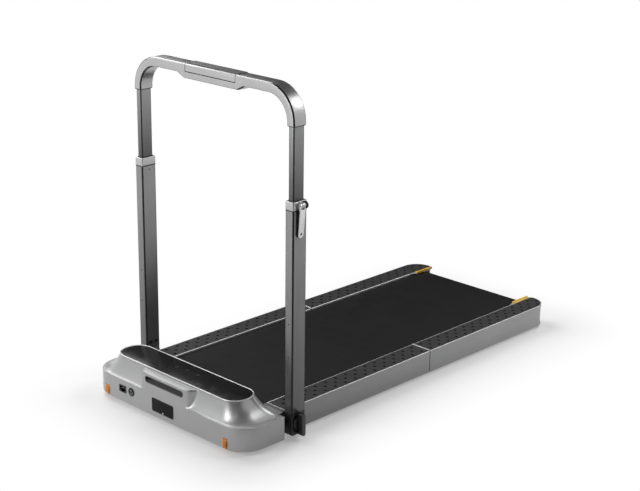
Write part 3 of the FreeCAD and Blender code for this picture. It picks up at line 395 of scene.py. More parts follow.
# Profile of the tubes' screws: radius, and depth into the tube, below zero where it stands out
SCREW_PROFILE = ((2.2, 0.0), (2.2, -0.2), (1.6, -0.6), (0.8, -0.7), (0.6, -0.4))
BOLT_HEAD = 6.5
BOLT_TALL = 3.0
BOLT_BEVEL = 1.0
BOLT_SHANK = 4.0
BOLT_LENGTH = 14.0
BOLT_SOCKET = 2.8
BOLT_SOCKET_FLOOR = 0.5
BOLT_Z = 113.0
BOLT_PITCH = 22.0
LEVER_X = 343.0
LEVER_Z = 693.0
LEVER_WIDTH = 22.0
LEVER_TAPER = 1.5
LEVER_ROUND = 0.9
LEVER_THICK = 6.0
LEVER_SKIN = 2.0
LEVER_LENGTH = 92.0
LEVER_HUB = 6.5
LEVER_DROP = 11.5
LEVER_LAP = 2.0
LEVER_FORK = 0.4
LEVER_HOLE = 4.0
LEVER_HOLE_RISE = 12.0
LEVER_LEAN = 4.5
LEVER_SKEW = 4.0
LEVER_COVER = 10.5
LEVER_COVER_THICK = 4.0
LEVER_COVER_BEVEL = 1.0
LEVER_BORE = 3.05
LUG_ROOT = 334.0
LUG_RADIUS = 7.5
LUG_CORNER = 7.0
LUG_WIDTH = 11.0
TUBE_WIDTH = 20.0
TUBE_DEPTH = 40.0
TUBE_LOW = 420.0
TUBE_HIGH = 945.0
TUBE_WALL = 1.5
TUBE_CORNER = 3.0
HANDLE_LOW = 912.0
HANDLE_TOP = 1018.0
HANDLE_BAR = 29.0
HANDLE_DEPTH = 48.0
HANDLE_CORNER = 100.0
HANDLE_EDGE = 5.0
HANDLE_EDGE_STEPS = 7
MODULE_DROP = 14.0
MODULE_HALF = 112.0
MODULE_SLOPE = 28.0
MODULE_BEND = 22.0
BOW_STEPS = 20
FLAP_HALF = 105.0
FLAP_LOW = 995.0
FLAP_THICK = 5.0
FLAP_GAP = 0.7
FLAP_SHRINK = 1.1
FLAP_FRONT_EDGE = 1.2
FLAP_BACK_EDGE = 2.0
FLAP_TOP_EDGE = 4.6
PAD_HALF = 110.0
PAD_FRONT = 9.0
PAD_BACK = 3.0
PAD_RISE = 2.0
PAD_SINK = 1.0
PAD_CORNER = 4.0
PAD_EDGE = 0.9
PIVOT_Z = 48.0
PIVOT_PIN = 6.05
SHOE_INSET = 0.5
SHOE_EDGE = 1.2
SHOE_DROP = 35.0
SHOE_CORNER = 5.0
SHOE_RECESS = 21.5
SHOE_RECESS_ROUND = 0.99
SHOE_RECESS_TALL = 58.0
SHOE_RECESS_DEPTH = 4.0
PLUG_RISE = 46.0
PLUG_ROOT = 2.0
PLUG_PLAY = 0.4
PLUG_CORNER = 1.8
PLUG_EDGE = 1.0
KNOB_RADIUS = 20.5
KNOB_EDGE = 1.5
KNOB_GAP = 0.3
KNOB_FACE = 3.0
KNOB_LENGTH = 69.0
KNOB_THICK = 14.0
KNOB_ROUND = 0.98
KNOB_REACH = 20.5
KNOB_LAP = 1.0
KNOB_SKIN = 2.5
KNOB_SKIN_INSET = 0.6
KNOB_SKIN_LAP = 0.2
KNOB_SKIN_EDGE = 0.9


def place(x, y, z):
    """A point of the part in the frame's metres."""
    return Vector((x * MM, (y - PART_MIDDLE) * MM, z * MM))


# Materials, by name
PAINTS = {}


def plugged(tree, node, inputs):
    """Link a node's inputs to sockets, or set them to values, by name or number."""
    for socket, value in inputs.items():
        if isinstance(value, bpy.types.NodeSocket):
            tree.links.new(value, node.inputs[socket])
        else:
            node.inputs[socket].default_value = value


def wired(tree, kind, inputs, output=0, **settings):
    """The output of a new node with these inputs and settings."""
    made = tree.nodes.new(kind)
    for key, value in settings.items():
        setattr(made, key, value)
    plugged(tree, made, inputs)
    return made.outputs[output]


class Paint:
    """One procedural material: a shader, and textures in the part's own coordinates."""

    def __init__(self, name, base, metallic, roughness, shine=SHINE):
        self.name = name
        self.material = bpy.data.materials.new(name)
        self.material.use_nodes = True
        self.tree = self.material.node_tree
        self.shader = self.tree.nodes["Principled BSDF"]
        plugged(self.tree, self.shader, {"Metallic": metallic, "Specular IOR Level": shine})
        self.coordinates = self.node("ShaderNodeTexCoord", {}, "Object")
        self.colour = (*base, 1)
        self.roughness = roughness
        self.gloss = roughness
        self.normal = None

    def node(self, kind, inputs, output=0, **settings):
        """The output of a new node in this material."""
        return wired(self.tree, kind, inputs, output, **settings)

    def noise(self, scale, detail, stretch=(1, 1, 1)):
        """Noise in the part's own coordinates, about one half on average."""
        spot = self.node("ShaderNodeMapping", {"Vector": self.coordinates, "Scale": stretch})
        return self.node("ShaderNodeTexNoise", {"Vector": spot, "Scale": scale, "Detail": detail}, "Fac")

    def ranged(self, value, low, high, start=NOISE_LOW, end=NOISE_HIGH):
        """A value, by default noise, turned from a start and end into a range."""
        spans = {"Value": value, "From Min": start, "From Max": end, "To Min": low, "To Max": high}
        return self.node("ShaderNodeMapRange", spans, "Result")

    def shade(self, factor):
        """Multiply the colour by a factor."""
        inputs = {MIX_SHARE: 1.0, MIX_FIRST: self.colour, MIX_SECOND: factor}
        self.colour = self.node("ShaderNodeMix", inputs, MIX_COLOUR, data_type="RGBA", blend_type="MULTIPLY")
        return self

    def mottle(self, scale, detail, share, stretch=(1, 1, 1)):
        """Vary the colour by a share, darker and lighter."""
        return self.shade(self.ranged(self.noise(scale, detail, stretch), 1 - share, 1 + share))

    def wear(self, scale, detail, down, up, stretch=(1, 1, 1)):
        """Vary the roughness, down and up."""
        value = self.noise(scale, detail, stretch)
        self.gloss = self.ranged(value, self.roughness - down, self.roughness + up)
        return self

    def bump(self, value, depth, strength=1.0):
        """Raise the surface by a texture, its depth in millimetres."""
        inputs = {"Strength": strength, "Distance": depth * MM, "Height": value}
        self.normal = self.node("ShaderNodeBump", inputs, "Normal")
        return self

    def grain(self, scale, detail, depth):
        """Raise the surface by noise, its depth in millimetres."""
        return self.bump(self.noise(scale, detail), depth)

    def done(self):
        """Connect what was made, and keep the material by its name."""
        made = {"Base Color": self.colour, "Roughness": self.gloss, "Normal": self.normal}
        plugged(self.tree, self.shader, made)
        PAINTS[self.name] = self.material
        return self.material


def grey(value, warmth=0.0):
    """A nearly neutral colour, a little cooler the lower the warmth."""
    return (value * (1 + warmth), value, value * (1 - warmth))


def metallic_paint(name, base, metallic, roughness, top=None):
    """Sprayed paint with fine metal flakes and a faint orange-peel surface.

    A top paints shade on its upward faces: the slope where this starts, and the colour's share on a flat
    top.
    """
    paint = Paint(name, base, metallic, roughness)
    paint.mottle(*FLAKES).mottle(*PAINT_CLOUDS)
    if top:
        start, darkest = top
        # Painted shade: faces that look up are darker
        normal = paint.node("ShaderNodeTexCoord", {}, "Normal")
        slope = paint.node("ShaderNodeSeparateXYZ", {"Vector": normal}, "Z")
        paint.shade(paint.ranged(slope, 1.0, darkest, start, 1.0))
    return paint.wear(*PAINT_WEAR).grain(*ORANGE_PEEL).done()


def drawn_metal(name, base, metallic, roughness, along, fade=None):
    """Metal with fine lines along one axis, as drawing or brushing leaves them.

    A fade paints light and shade into its colour along it: an axis, two places on it in millimetres, and the
    share at each.
    """
    stretch = [1.0, 1.0, 1.0]
    stretch[along] = DRAWN_STRETCH
    paint = Paint(name, base, metallic, roughness)
    paint.mottle(*DRAWN_LINES, stretch).mottle(*DRAWN_CLOUDS)
    if fade:
        axis, low, high, first, last = fade
        # Painted shading: the colour darker at one end and lighter at the other
        spot = paint.node("ShaderNodeSeparateXYZ", {"Vector": paint.coordinates}, axis)
        paint.shade(paint.ranged(spot, first, last, low * MM, high * MM))
    paint.wear(*DRAWN_WEAR, stretch)
    return paint.bump(paint.noise(*DRAWN_LINES[:2], stretch), DRAWN_DEPTH).done()


def moulded(name, base, roughness, grain=MOULD_GRAIN, shine=SHINE):
    """Moulded plastic with faint handling marks and a fine grain, given by its scale and depth."""
    paint = Paint(name, base, 0.0, roughness, shine)
    scale, depth = grain
    return paint.mottle(*MOULD_CLOUDS).wear(*MOULD_WEAR).grain(scale, MOULD_DETAIL, depth).done()


def tread_plastic(name, base, roughness):
    """The tread plates' plastic: coarse grain and faint wear."""
    paint = Paint(name, base, 0.0, roughness, TREAD_SHINE)
    paint.mottle(*TREAD_CLOUDS).mottle(*TREAD_SPECKS)
    return paint.wear(*TREAD_WEAR).grain(*TREAD_GRAIN).done()


def belt_rubber(name, base, roughness):
    """Belt rubber with a fine cross-hatched surface and a little scuffing along the run."""
    paint = Paint(name, base, 0.0, roughness, BELT_SHINE)
    waves = []
    for turn in (BELT_HATCH_TURN, -BELT_HATCH_TURN):
        inputs = {"Vector": paint.coordinates, "Rotation": (0, 0, math.radians(turn))}
        turned = paint.node("ShaderNodeMapping", inputs)
        waves.append(paint.node("ShaderNodeTexWave", {"Vector": turned, "Scale": BELT_HATCH}, "Fac"))
    hatch = paint.node("ShaderNodeMath", {0: waves[0], 1: waves[1]}, operation="MULTIPLY")
    paint.mottle(*BELT_CLOUDS).mottle(*BELT_SCUFFS, BELT_RUN).wear(*BELT_WEAR)
    return paint.bump(hatch, BELT_HATCH_DEPTH, BELT_HATCH_STRENGTH).done()


def wood_board(name, base, roughness):
    """A fibreboard with a faint run of fibres."""
    paint = Paint(name, base, 0.0, roughness)
    return paint.mottle(*WOOD_FIBRES, WOOD_RUN).wear(*WOOD_WEAR).grain(*WOOD_GRAIN).done()


# Each has its colour, its share of metal unless it is plastic, rubber or wood, and its roughness.
# Drawn metal also has the axis of its lines and a fade, moulded plastic its grain's scale and depth.
metallic_paint("hood_silver", grey(0.49, -0.004), 0.45, 0.33)
# A darker, duller copy of the hood's paint: a painted shade on the shoulder edge and the boss's lip.
metallic_paint("hood_painted_shade", grey(0.38, -0.004), 0.35, 0.45)
# The rails' metal has painted shading: darker at the front, lighter at the rear.
drawn_metal("rail_silver", grey(0.36, -0.004), 0.5, 0.36, 1, RAIL_PAINTED_SHADING)
# A brighter copy of the rails' metal: a painted highlight on their lips and on a ridge of the caps.
drawn_metal("lip_painted_highlight", grey(0.7), 0.5, 0.36, 1)
tread_plastic("tread_plate", grey(0.028), 0.6)
moulded("tread_dimple", grey(0.003), 0.8, (900.0, 0.05), shine=0.1)
moulded("plate_line", grey(0.07), 0.4)
# A lighter grey for the knobs' outer faces: painted light on that side.
moulded("knob_painted_light", grey(0.09), 0.4)
metallic_paint("lever_bright", grey(0.85), 0.7, 0.3)
belt_rubber("belt_rubber", grey(0.006), 0.62)
metallic_paint("frame_steel", grey(0.045), 0.0, 0.5)
wood_board("deck_wood", (0.09, 0.065, 0.045), 0.6)
moulded("console_black", grey(0.018), 0.22, (2400.0, 0.003), shine=0.15)
metallic_paint("rim_bright", grey(0.62), 0.7, 0.3)
moulded("grip_plastic", grey(0.14), 0.5)
moulded("plate_dark", grey(0.01), 0.5, shine=0.12)
moulded("fitting_black", grey(0.014), 0.45)
moulded("switch_black", grey(0.014), 0.3, (1800.0, 0.01))
metallic_paint("motor_metal", grey(0.09), 0.2, 0.45)
metallic_paint("control_alloy", grey(0.42), 0.8, 0.45)
moulded("drive_rubber", grey(0.02), 0.7, (500.0, 0.1))
drawn_metal("roller_steel", grey(0.5), 0.9, 0.35, 0)
drawn_metal("pin_steel", grey(0.45), 0.9, 0.35, 0)
drawn_metal("hinge_steel", grey(0.3), 0.6, 0.4, 0)
metallic_paint("bolt_black", grey(0.018), 0.3, 0.42)
moulded("wheel_orange", (1.0, 0.32, 0.02), 0.32)
moulded("foot_rubber", grey(0.025), 0.75, (600.0, 0.08))
# The lower and sliding tubes' metal has painted shading: darker towards the bottom, lighter towards the top.
drawn_metal("upright_grey", grey(0.28, -0.004), 0.5, 0.34, 2, UPRIGHT_PAINTED_SHADING)
drawn_metal("slide_grey", grey(0.25, -0.004), 0.6, 0.34, 2, SLIDE_PAINTED_SHADING)
drawn_metal("cap_grey", grey(0.09), 0.4, 0.4, 0)
# Near-black metal on the rounded corners of the tubes and the bow: a painted dark reflection.
drawn_metal("corner_painted_reflection", grey(0.015), 0.4, 0.4, 2)
moulded("shoe_black", grey(0.014), 0.48)
metallic_paint("collar_silver", grey(0.65), 0.5, 0.32)
moulded("bush_plastic", grey(0.016), 0.5)
# The handle's upward faces get a painted shade.
metallic_paint("handle_silver", grey(0.58), 0.5, 0.3, HANDLE_TOP_PAINTED_SHADE)
moulded("pad_rubber", grey(0.06), 0.6, (700.0, 0.05))
moulded("marker_amber", (0.78, 0.47, 0.04), 0.35)
for row in frame["record"]["subparts"]:
    materials = frame["nodes"][row["node"]].data.materials
    materials.clear()
    materials.append(PAINTS[row["material_slot"]])


# Shapes
class Form:
    """A mesh under way: closed shells of points in millimetres, with a paint's number for each face."""

    def __init__(self):
        self.points = []
        self.faces = []
        self.paints = []

    def add(self, points, faces, paints):
        """Add points, and faces that count from the first of them."""
        start = len(self.points)
        self.points += points
        self.faces += [tuple(start + number for number in face) for face in faces]
        self.paints += paints
        return self

    def loft(self, rings, closed=False, paint=0, paired=False):
        """Join rings of equal counts, and cap the two ends unless the rings close on themselves.

        A paired cap joins each point to the one as far from the ring's other end, for bent rings.
        """
        count = len(rings[0])
        points = [point for ring in rings for point in ring]
        faces = []
        for level in range(len(rings) if closed else len(rings) - 1):
            low = level * count
            high = (level + 1) % len(rings) * count
            for here in range(count):
                there = (here + 1) % count
                faces.append((low + here, low + there, high + there, high + here))
        if paired:
            for low in (0, len(points) - count):
                for here in range(count // 2 - 1):
                    there = count - 1 - here
                    faces.append((low + here, low + here + 1, low + there - 1, low + there))
        elif not closed:
            faces.append(tuple(reversed(range(count))))
            faces.append(tuple(range(len(points) - count, len(points))))
        return self.add(points, faces, [paint] * len(faces))

    def join(self, *others):
        """Take in other forms as further shells."""
        for other in others:
            self.add(other.points, other.faces, other.paints)
        return self

    def mirrored(self):
        """The other hand of this form, across the centre plane."""
        return Form().add([(-x, y, z) for x, y, z in self.points], self.faces, self.paints)

    def mesh(self, *paints):
        """A mesh in the frame's metres, its faces turned outwards."""
        mesh = bpy.data.meshes.new("form")
        mesh.from_pydata([place(*point) for point in self.points], [], self.faces)
        mesh.polygons.foreach_set("material_index", self.paints)
        for paint in paints:
            mesh.materials.append(PAINTS[paint])
        return cleaned(mesh)


def cleaned(mesh):
    """Merge points that coincide and turn every shell outwards."""
    work = bmesh.new()
    work.from_mesh(mesh)
    bmesh.ops.remove_doubles(work, verts=work.verts, dist=MERGE)
    bmesh.ops.dissolve_degenerate(work, edges=work.edges, dist=MERGE)
    bmesh.ops.recalc_face_normals(work, faces=work.faces)
    work.to_mesh(mesh)
    work.free()
    return mesh


def linked(name, data):
    """An object in the scene."""
    made = bpy.data.objects.new(name, data)
    bpy.context.scene.collection.objects.link(made)
    return made


def carved(mesh, *cutters):
    """A mesh with closed forms cut out of it, one after another."""
    rest = linked("rest", mesh)
    for cutter in cutters:
        tool_mesh = cutter.mesh()
        for material in mesh.materials:
            tool_mesh.materials.append(material)
        tool = linked("tool", tool_mesh)
        cut = rest.modifiers.new("cut", "BOOLEAN")
        cut.operation = "DIFFERENCE"
        cut.solver = "EXACT"
        cut.object = tool
        graph = bpy.context.evaluated_depsgraph_get()
        made = bpy.data.meshes.new_from_object(rest.evaluated_get(graph))
        rest.modifiers.clear()
        rest.data = made
        bpy.data.objects.remove(tool)
        bpy.data.meshes.remove(tool_mesh)
    made = rest.data
    bpy.data.objects.remove(rest)
    return cleaned(made)


def shown(name, mesh, sharp=SHARP):
    """Put a mesh in the scene, smooth up to an angle."""
    mesh.name = name
    mesh.shade_smooth()
    mesh.set_sharp_from_angle(angle=math.radians(sharp))
    return linked(name, mesh)


def finished(name, body, slot, mesh, *nodes, sharp=SHARP):
    """Put a mesh in the scene on a body, in the place of CAD nodes."""
    piece = shown(name, mesh, sharp)
    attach(piece, body)
    if nodes:
        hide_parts(*nodes)


def sided(mesh, side):
    """A mesh of the right side as it is, or turned into the left side's."""
    if side == "left":
        mesh.transform(Matrix.Scale(-1, 4, (1, 0, 0)))
        cleaned(mesh)
    return mesh


def spaced(start, end, steps):
    """Evenly spaced values from a start to an end."""
    return [start + (end - start) * step / steps for step in range(steps + 1)]


def arc(u, v, radius, start, steps, first=1):
    """The points of a quarter turn, by default without the one it starts at."""
    turns = [math.radians(start + 90 * step / steps) for step in range(first, steps + 1)]
    return [(u + radius * math.cos(turn), v + radius * math.sin(turn)) for turn in turns]


def rounded(u0, u1, v0, v1, radii, steps=CORNER_STEPS):
    """A rounded rectangle, its radii anticlockwise from the corner at u1, v0."""
    corners = ((u1, v0, -1, 1, -90), (u1, v1, -1, -1, 0), (u0, v1, 1, -1, 90), (u0, v0, 1, 1, 180))
    loop = []
    for (u, v, side_u, side_v, start), radius in zip(corners, radii):
        loop += arc(u + radius * side_u, v + radius * side_v, radius, start, steps, 0)
    return loop


def oblong(u, v, half_u, half_v, radius, steps=CORNER_STEPS):
    """A rounded rectangle about its middle."""
    return rounded(u - half_u, u + half_u, v - half_v, v + half_v, [radius] * 4, steps)


def softened(corners, steps=CORNER_STEPS):
    """A polygon, anticlockwise, whose corners (u, v, radius) are rounded."""
    loop = []
    for number, (u, v, radius) in enumerate(corners):
        here = Vector((u, v))
        before = (Vector(corners[number - 1][:2]) - here).normalized()
        after = (Vector(corners[(number + 1) % len(corners)][:2]) - here).normalized()
        half = before.angle(after) / 2
        if radius == 0:
            loop.append((u, v))
            continue
        middle = here + (before + after).normalized() * radius / math.sin(half)
        start = here + before * radius / math.tan(half) - middle
        end = here + after * radius / math.tan(half) - middle
        turn = start.angle_signed(end)
        for step in range(steps + 1):
            spoke = start.copy()
            spoke.rotate(Matrix.Rotation(-turn * step / steps, 2))
            loop.append(tuple(middle + spoke))
    return loop


def circle(u, v, radius, steps=ROUND_TURN):
    """A round loop."""
    turns = [2 * math.pi * step / steps for step in range(steps)]
    return [(u + radius * math.cos(turn), v + radius * math.sin(turn)) for turn in turns]


def ringed(loop, u, v, radius):
    """A circle about u, v with a point towards each point of a loop."""
    turns = [math.atan2(y - v, x - u) for x, y in loop]
    return [(u + radius * math.cos(turn), v + radius * math.sin(turn)) for turn in turns]


def shrunk(loop, inset):
    """A loop drawn in by an inset, square to its edges."""
    if inset == 0:
        return list(loop)
    made = []
    for number, point in enumerate(loop):
        here = Vector(point)
        before = (here - Vector(loop[number - 1])).normalized()
        after = (Vector(loop[(number + 1) % len(loop)]) - here).normalized()
        normal = Vector((-before.y - after.y, before.x + after.x)).normalized()
        lean = max(normal.dot(Vector((-after.y, after.x))), LEAST_LEAN)
        made.append(tuple(here + normal * inset / lean))
    return made


def lifted(loop, axis, level):
    """A flat loop set square to an axis at a level."""
    if axis == "x":
        return [(level, u, v) for u, v in loop]
    if axis == "y":
        return [(u, level, v) for u, v in loop]
    return [(u, v, level) for u, v in loop]


def bend(edge, steps=EASE_STEPS):
    """Pairs of inset and rise round an edge."""
    turns = [math.radians(90 * step / steps) for step in range(steps + 1)]
    return [(edge * (1 - math.sin(turn)), edge * (1 - math.cos(turn))) for turn in turns]


def eased(low, high, edge, steps=EASE_STEPS):
    """Pairs of inset and level from low to high whose two ends are rounded."""
    bends = bend(edge, steps)
    return ([(inset, low + rise) for inset, rise in bends]
            + [(inset, high - rise) for inset, rise in reversed(bends)])


def bar(loop, axis, low, high, edge, paint=0):
    """A loop drawn along an axis, with rounded edges at both ends."""
    rings = [lifted(shrunk(loop, inset), axis, level) for inset, level in eased(low, high, edge)]
    return Form().loft(rings, paint=paint)


def pipe(outer, inner, axis, low, high, edge, paint=0):
    """A hollow bar between two loops of equal counts, with rounded edges at both ends."""
    rings = [lifted(shrunk(outer, inset), axis, level) for inset, level in eased(low, high, edge)]
    rings += [lifted(inner, axis, high), lifted(inner, axis, low)]
    return Form().loft(rings, closed=True, paint=paint)


def lathe(profile, axis, u, v, closed=False, paint=0, steps=ROUND_TURN):
    """A turned form: its profile's pairs are a radius and a place along the axis."""
    rings = [lifted(circle(u, v, radius, steps), axis, along) for radius, along in profile]
    return Form().loft(rings, closed, paint)


def prism(loop, axis, low, high, paint=0):
    """A loop drawn along an axis, for cutting."""
    return Form().loft([lifted(loop, axis, low), lifted(loop, axis, high)], paint=paint)


def block(x0, x1, y0, y1, z0, z1, paint=0):
    """A box between two corners, for cutting."""
    return prism([(x0, y0), (x1, y0), (x1, y1), (x0, y1)], "z", z0, z1, paint)


def both(form):
    """A form and its other hand."""
    return Form().join(form, form.mirrored())


# Hood
def flare_drawn(share):
    """How far the flare has drawn in at a share of its height."""
    swept = math.sqrt(max(0.0, 1 - (1 - share) ** 2))
    return FLARE_HOLLOW * swept + (1 - FLARE_HOLLOW) * share


def softly(first, second, blend, side):
    """The larger (side 1) or smaller (side -1) of two values, blended where they are close."""
    return (first + second + side * math.sqrt((first - second) ** 2 + blend ** 2)) / 2


def boss_front(x, front, z):
    """Where the hood's front lies once the grip boss is taken in."""
    side = (abs(x) - BOSS_HALF) * BOSS_DEPTH / BOSS_SPREAD
    boss = softly(0.0, side, BOSS_SIDE_BLEND, 1)
    over = z - (FLARE_TOP - BOSS_EDGE)
    if over > 0:
        boss += BOSS_EDGE - math.sqrt(max(0.0, BOSS_EDGE ** 2 - over ** 2))
    return max(0.0, softly(front, boss, BOSS_ROOT_BLEND, -1))


def front_stations(span):
    """Places across the hood's front, close together at the boss's sides."""
    near, far = BOSS_DENSE
    right = spaced(0.0, near, LARGE_STEPS)[:-1] + spaced(near, far, BOSS_DENSE_STEPS)
    right += spaced(far, span, HOOD_STEPS)[1:]
    return [-x for x in reversed(right[1:])] + right


def hood_ring(share, inset, z, boss):
    """The hood's outline at a share of the way up its flare."""
    drawn = flare_drawn(share)

    def between(low, high):
        return low + (high - low) * drawn

    half = between(HOOD_HALF_WIDTH, CONSOLE_HALF) - inset
    front = between(0.0, CONSOLE_FRONT) + inset
    back = between(HOOD_DEPTH, CONSOLE_BACK) - inset
    end = (CONSOLE_BACK - CONSOLE_FRONT) / 2 - CONSOLE_END_FLAT
    near = between(HOOD_CORNER, end) - inset
    far = max(between(HOOD_BACK_CORNER, end) - inset, HOOD_EDGE)
    loop = [(x, boss_front(x, front, z) if boss else front) for x in front_stations(half - near)]
    loop += arc(half - near, front + near, near, -90, HOOD_STEPS)
    loop += [(half, back - far)] + arc(half - far, back - far, far, 0, LARGE_STEPS)
    loop += [(x, back) for x in spaced(half - far, far - half, HOOD_STEPS)[1:]]
    loop += arc(far - half, back - far, far, 90, LARGE_STEPS)
    loop += [(-half, front + near)] + arc(near - half, front + near, near, 180, HOOD_STEPS)[:-1]
    return lifted(loop, "z", z)


def hood_form():
    """The outside of the hood: skirt, shoulder, hollow flare and grip boss."""
    skirt = [(inset, HOOD_BOTTOM + rise) for inset, rise in bend(HOOD_EDGE)]
    skirt += [(inset, SHOULDER - rise) for inset, rise in reversed(bend(SHOULDER_EDGE)[1:])]
    rings = [hood_ring(0.0, inset, z, True) for inset, z in skirt]
    for step in range(FLARE_FIRST, FLARE_STEPS + 1):
        share = (step / FLARE_STEPS) ** 2
        rings.append(hood_ring(share, 0.0, SHOULDER + (FLARE_TOP - SHOULDER) * share, True))
    rings.append(hood_ring(1.0, 0.0, FLARE_TOP, False))
    return Form().loft(rings)


def hood_hollow():
    """The room inside the hood."""
    rings = [hood_ring(0.0, HOOD_WALL, HOOD_BOTTOM + HOOD_FLOOR, False)]
    for step in range(HOLLOW_STEPS + 1):
        share = (step / HOLLOW_STEPS) ** 2
        z = SHOULDER - HOOD_WALL + (FLARE_TOP - SHOULDER) * share
        rings.append(hood_ring(share, HOOD_WALL, z, False))
    return Form().loft(rings)


def grip_loop():
    """The carry grip's outline."""
    return rounded(-GRIP_HALF, GRIP_HALF, GRIP_LOW, GRIP_HIGH, [GRIP_CORNER] * 4)


def make_hood():
    """The hood with its openings."""
    under = HOOD_BOTTOM - OVERRUN
    through = HOOD_WALL + OVERRUN
    behind = HOOD_DEPTH + OVERRUN
    slot = prism(grip_loop(), "y", -OVERRUN, GRIP_DEPTH + OVERRUN)
    inlet = block(INLET[0] - INLET_HOLE[0], INLET[0] + INLET_HOLE[0], -OVERRUN, through,
                  INLET[1] - INLET_HOLE[1], INLET[1] + INLET_HOLE[1])
    switch = lathe([(SWITCH_BODY, -OVERRUN), (SWITCH_BODY, through)], "y", *SWITCH)
    room = WHEEL_RADIUS + WHEEL_GAP
    arch = [(WHEEL_Y - room, under), (WHEEL_Y + room, under), (WHEEL_Y + room, WHEEL_Z)]
    for start in (0, 90):
        arch += arc(WHEEL_Y, WHEEL_Z, room, start, LARGE_STEPS)
    wheels = both(prism(arch, "x", WHEEL_X - WHEEL_SLOT, WHEEL_X + WHEEL_SLOT))
    door = block(-HOOD_DOOR, HOOD_DOOR, HOOD_DEPTH - through, behind, under, SHOULDER - SHOULDER_EDGE)
    over = HOOD_BOTTOM + HOOD_FLOOR + OVERRUN
    beams = both(block(BEAM_INNER, BEAM_OUTER, BEAM_FRONT, behind, under, over))
    mesh = carved(hood_form().mesh("hood_silver", "hood_painted_shade"), hood_hollow(), slot, inlet, switch, wheels,
                  door, beams)
    lip_back = place(0, CONSOLE_FRONT - BOSS_EDGE, 0).y
    # Upward faces on the shoulder edge and the boss's lip take the darker copy: a painted shade that tones
    # down their highlight.
    for face in mesh.polygons:
        shoulder = abs(face.center.z - SHOULDER * MM) < HOOD_SHADE_BAND * MM
        lip = face.center.z > GRIP_HIGH * MM and face.center.y < lip_back
        if face.normal.z > HOOD_SHADE_SLOPE and (shoulder or lip):
            face.material_index = 1
    finished("hood_shell", "base", "hood_silver", mesh, "hood_skirt", "hood_cover", sharp=HOOD_SHARP)


def stadium(inset):
    """The console's outline, drawn in by an inset."""
    radius = (CONSOLE_BACK - CONSOLE_FRONT) / 2 - CONSOLE_END_FLAT - inset
    half = CONSOLE_HALF - inset
    return rounded(-half, half, CONSOLE_FRONT + inset, CONSOLE_BACK - inset, [radius] * 4, HOOD_STEPS)


def make_console():
    """The console's bright rim, its panel and three plain marks on it."""
    outer = eased(FLARE_TOP, CONSOLE_TOP, RIM_EDGE)[EASE_STEPS:]
    rings = [lifted(stadium(inset), "z", z) for inset, z in outer]
    rings += [lifted(stadium(RIM_WIDTH - inset), "z", z) for inset, z in reversed(outer[1:])]
    rings += [lifted(stadium(inset), "z", FLARE_TOP) for inset in (RIM_WIDTH, RIM_EDGE)]
    finished("console_ring", "base", "rim_bright", Form().loft(rings, closed=True).mesh("rim_bright"),
             "console_rim")
    panel = bar(stadium(RIM_WIDTH + PANEL_GAP), "z", PANEL_SEAT, PANEL_TOP, PANEL_EDGE)
    finished("console_glass", "base", "console_black", panel.mesh("console_black"), "console_panel")

    levels = (PANEL_TOP, PANEL_TOP + MARK_RISE, 0)
    ring = circle(*MARKS[0], MARK_SIZE, HUB_TURN)
    marks = Form().join(pipe(ring, shrunk(ring, MARK_LINE), "z", *levels))
    u, v = MARKS[1]
    for shift in (-MARK_SIZE / 2, MARK_SIZE / 2):
        stroke = oblong(u + shift, v, MARK_LINE / 2, MARK_SIZE, MARK_LINE / 3, TINY_STEPS)
        marks.join(bar(stroke, "z", *levels))
    u, v = MARKS[2]
    corner = MARK_SIZE * math.sqrt(3) / 2
    triangle = softened([(u - MARK_SIZE / 2, v - corner, MARK_LINE), (u + MARK_SIZE, v, MARK_LINE),
                         (u - MARK_SIZE / 2, v + corner, MARK_LINE)], TINY_STEPS)
    marks.join(pipe(triangle, shrunk(triangle, MARK_LINE), "z", *levels))
    finished("console_marks", "base", "plate_dark", marks.mesh("plate_line"))


def make_grip():
    """The cup behind the grip slot, with a rounded lip."""
    third = GRIP_LIP / 3
    steps = [(0.0, GRIP_DEPTH), (0.0, GRIP_LIP), (third, third), (GRIP_LIP, 0.0), (GRIP_WALL - third, third),
             (GRIP_WALL, GRIP_LIP), (GRIP_WALL, GRIP_DEPTH - 2 * GRIP_WALL),
             (GRIP_FILLET, GRIP_DEPTH - GRIP_FILLET), (2 * GRIP_WALL, GRIP_DEPTH - GRIP_WALL)]
    rings = [lifted(shrunk(grip_loop(), inset), "y", y) for inset, y in steps]
    finished("grip_cup", "base", "grip_plastic", Form().loft(rings).mesh("grip_plastic"), "grip_liner")


def make_plate():
    """The bare plate on the hood's front with its border line and status dot."""
    face = -PLATE_THICK
    middle = -PLATE_THICK / 2
    proud = face - PLATE_LINE / 2
    plate = rounded(*PLATE, [PLATE_CORNER] * 4)
    border = shrunk(plate, PLATE_BORDER)
    dot = [(DOT_RADIUS, middle), (DOT_RADIUS, proud), (DOT_RADIUS / 2, face - PLATE_LINE)]
    form = bar(plate, "y", face, 0.0, PLATE_THICK / 2)
    form.join(pipe(border, shrunk(border, PLATE_LINE), "y", proud, middle, 0, 1))
    form.join(lathe(dot, "y", *DOT, paint=2, steps=SCREW_TURN))
    finished("front_plate", "base", "plate_dark", form.mesh("plate_dark", "plate_line", "rim_bright"),
             "service_plate")


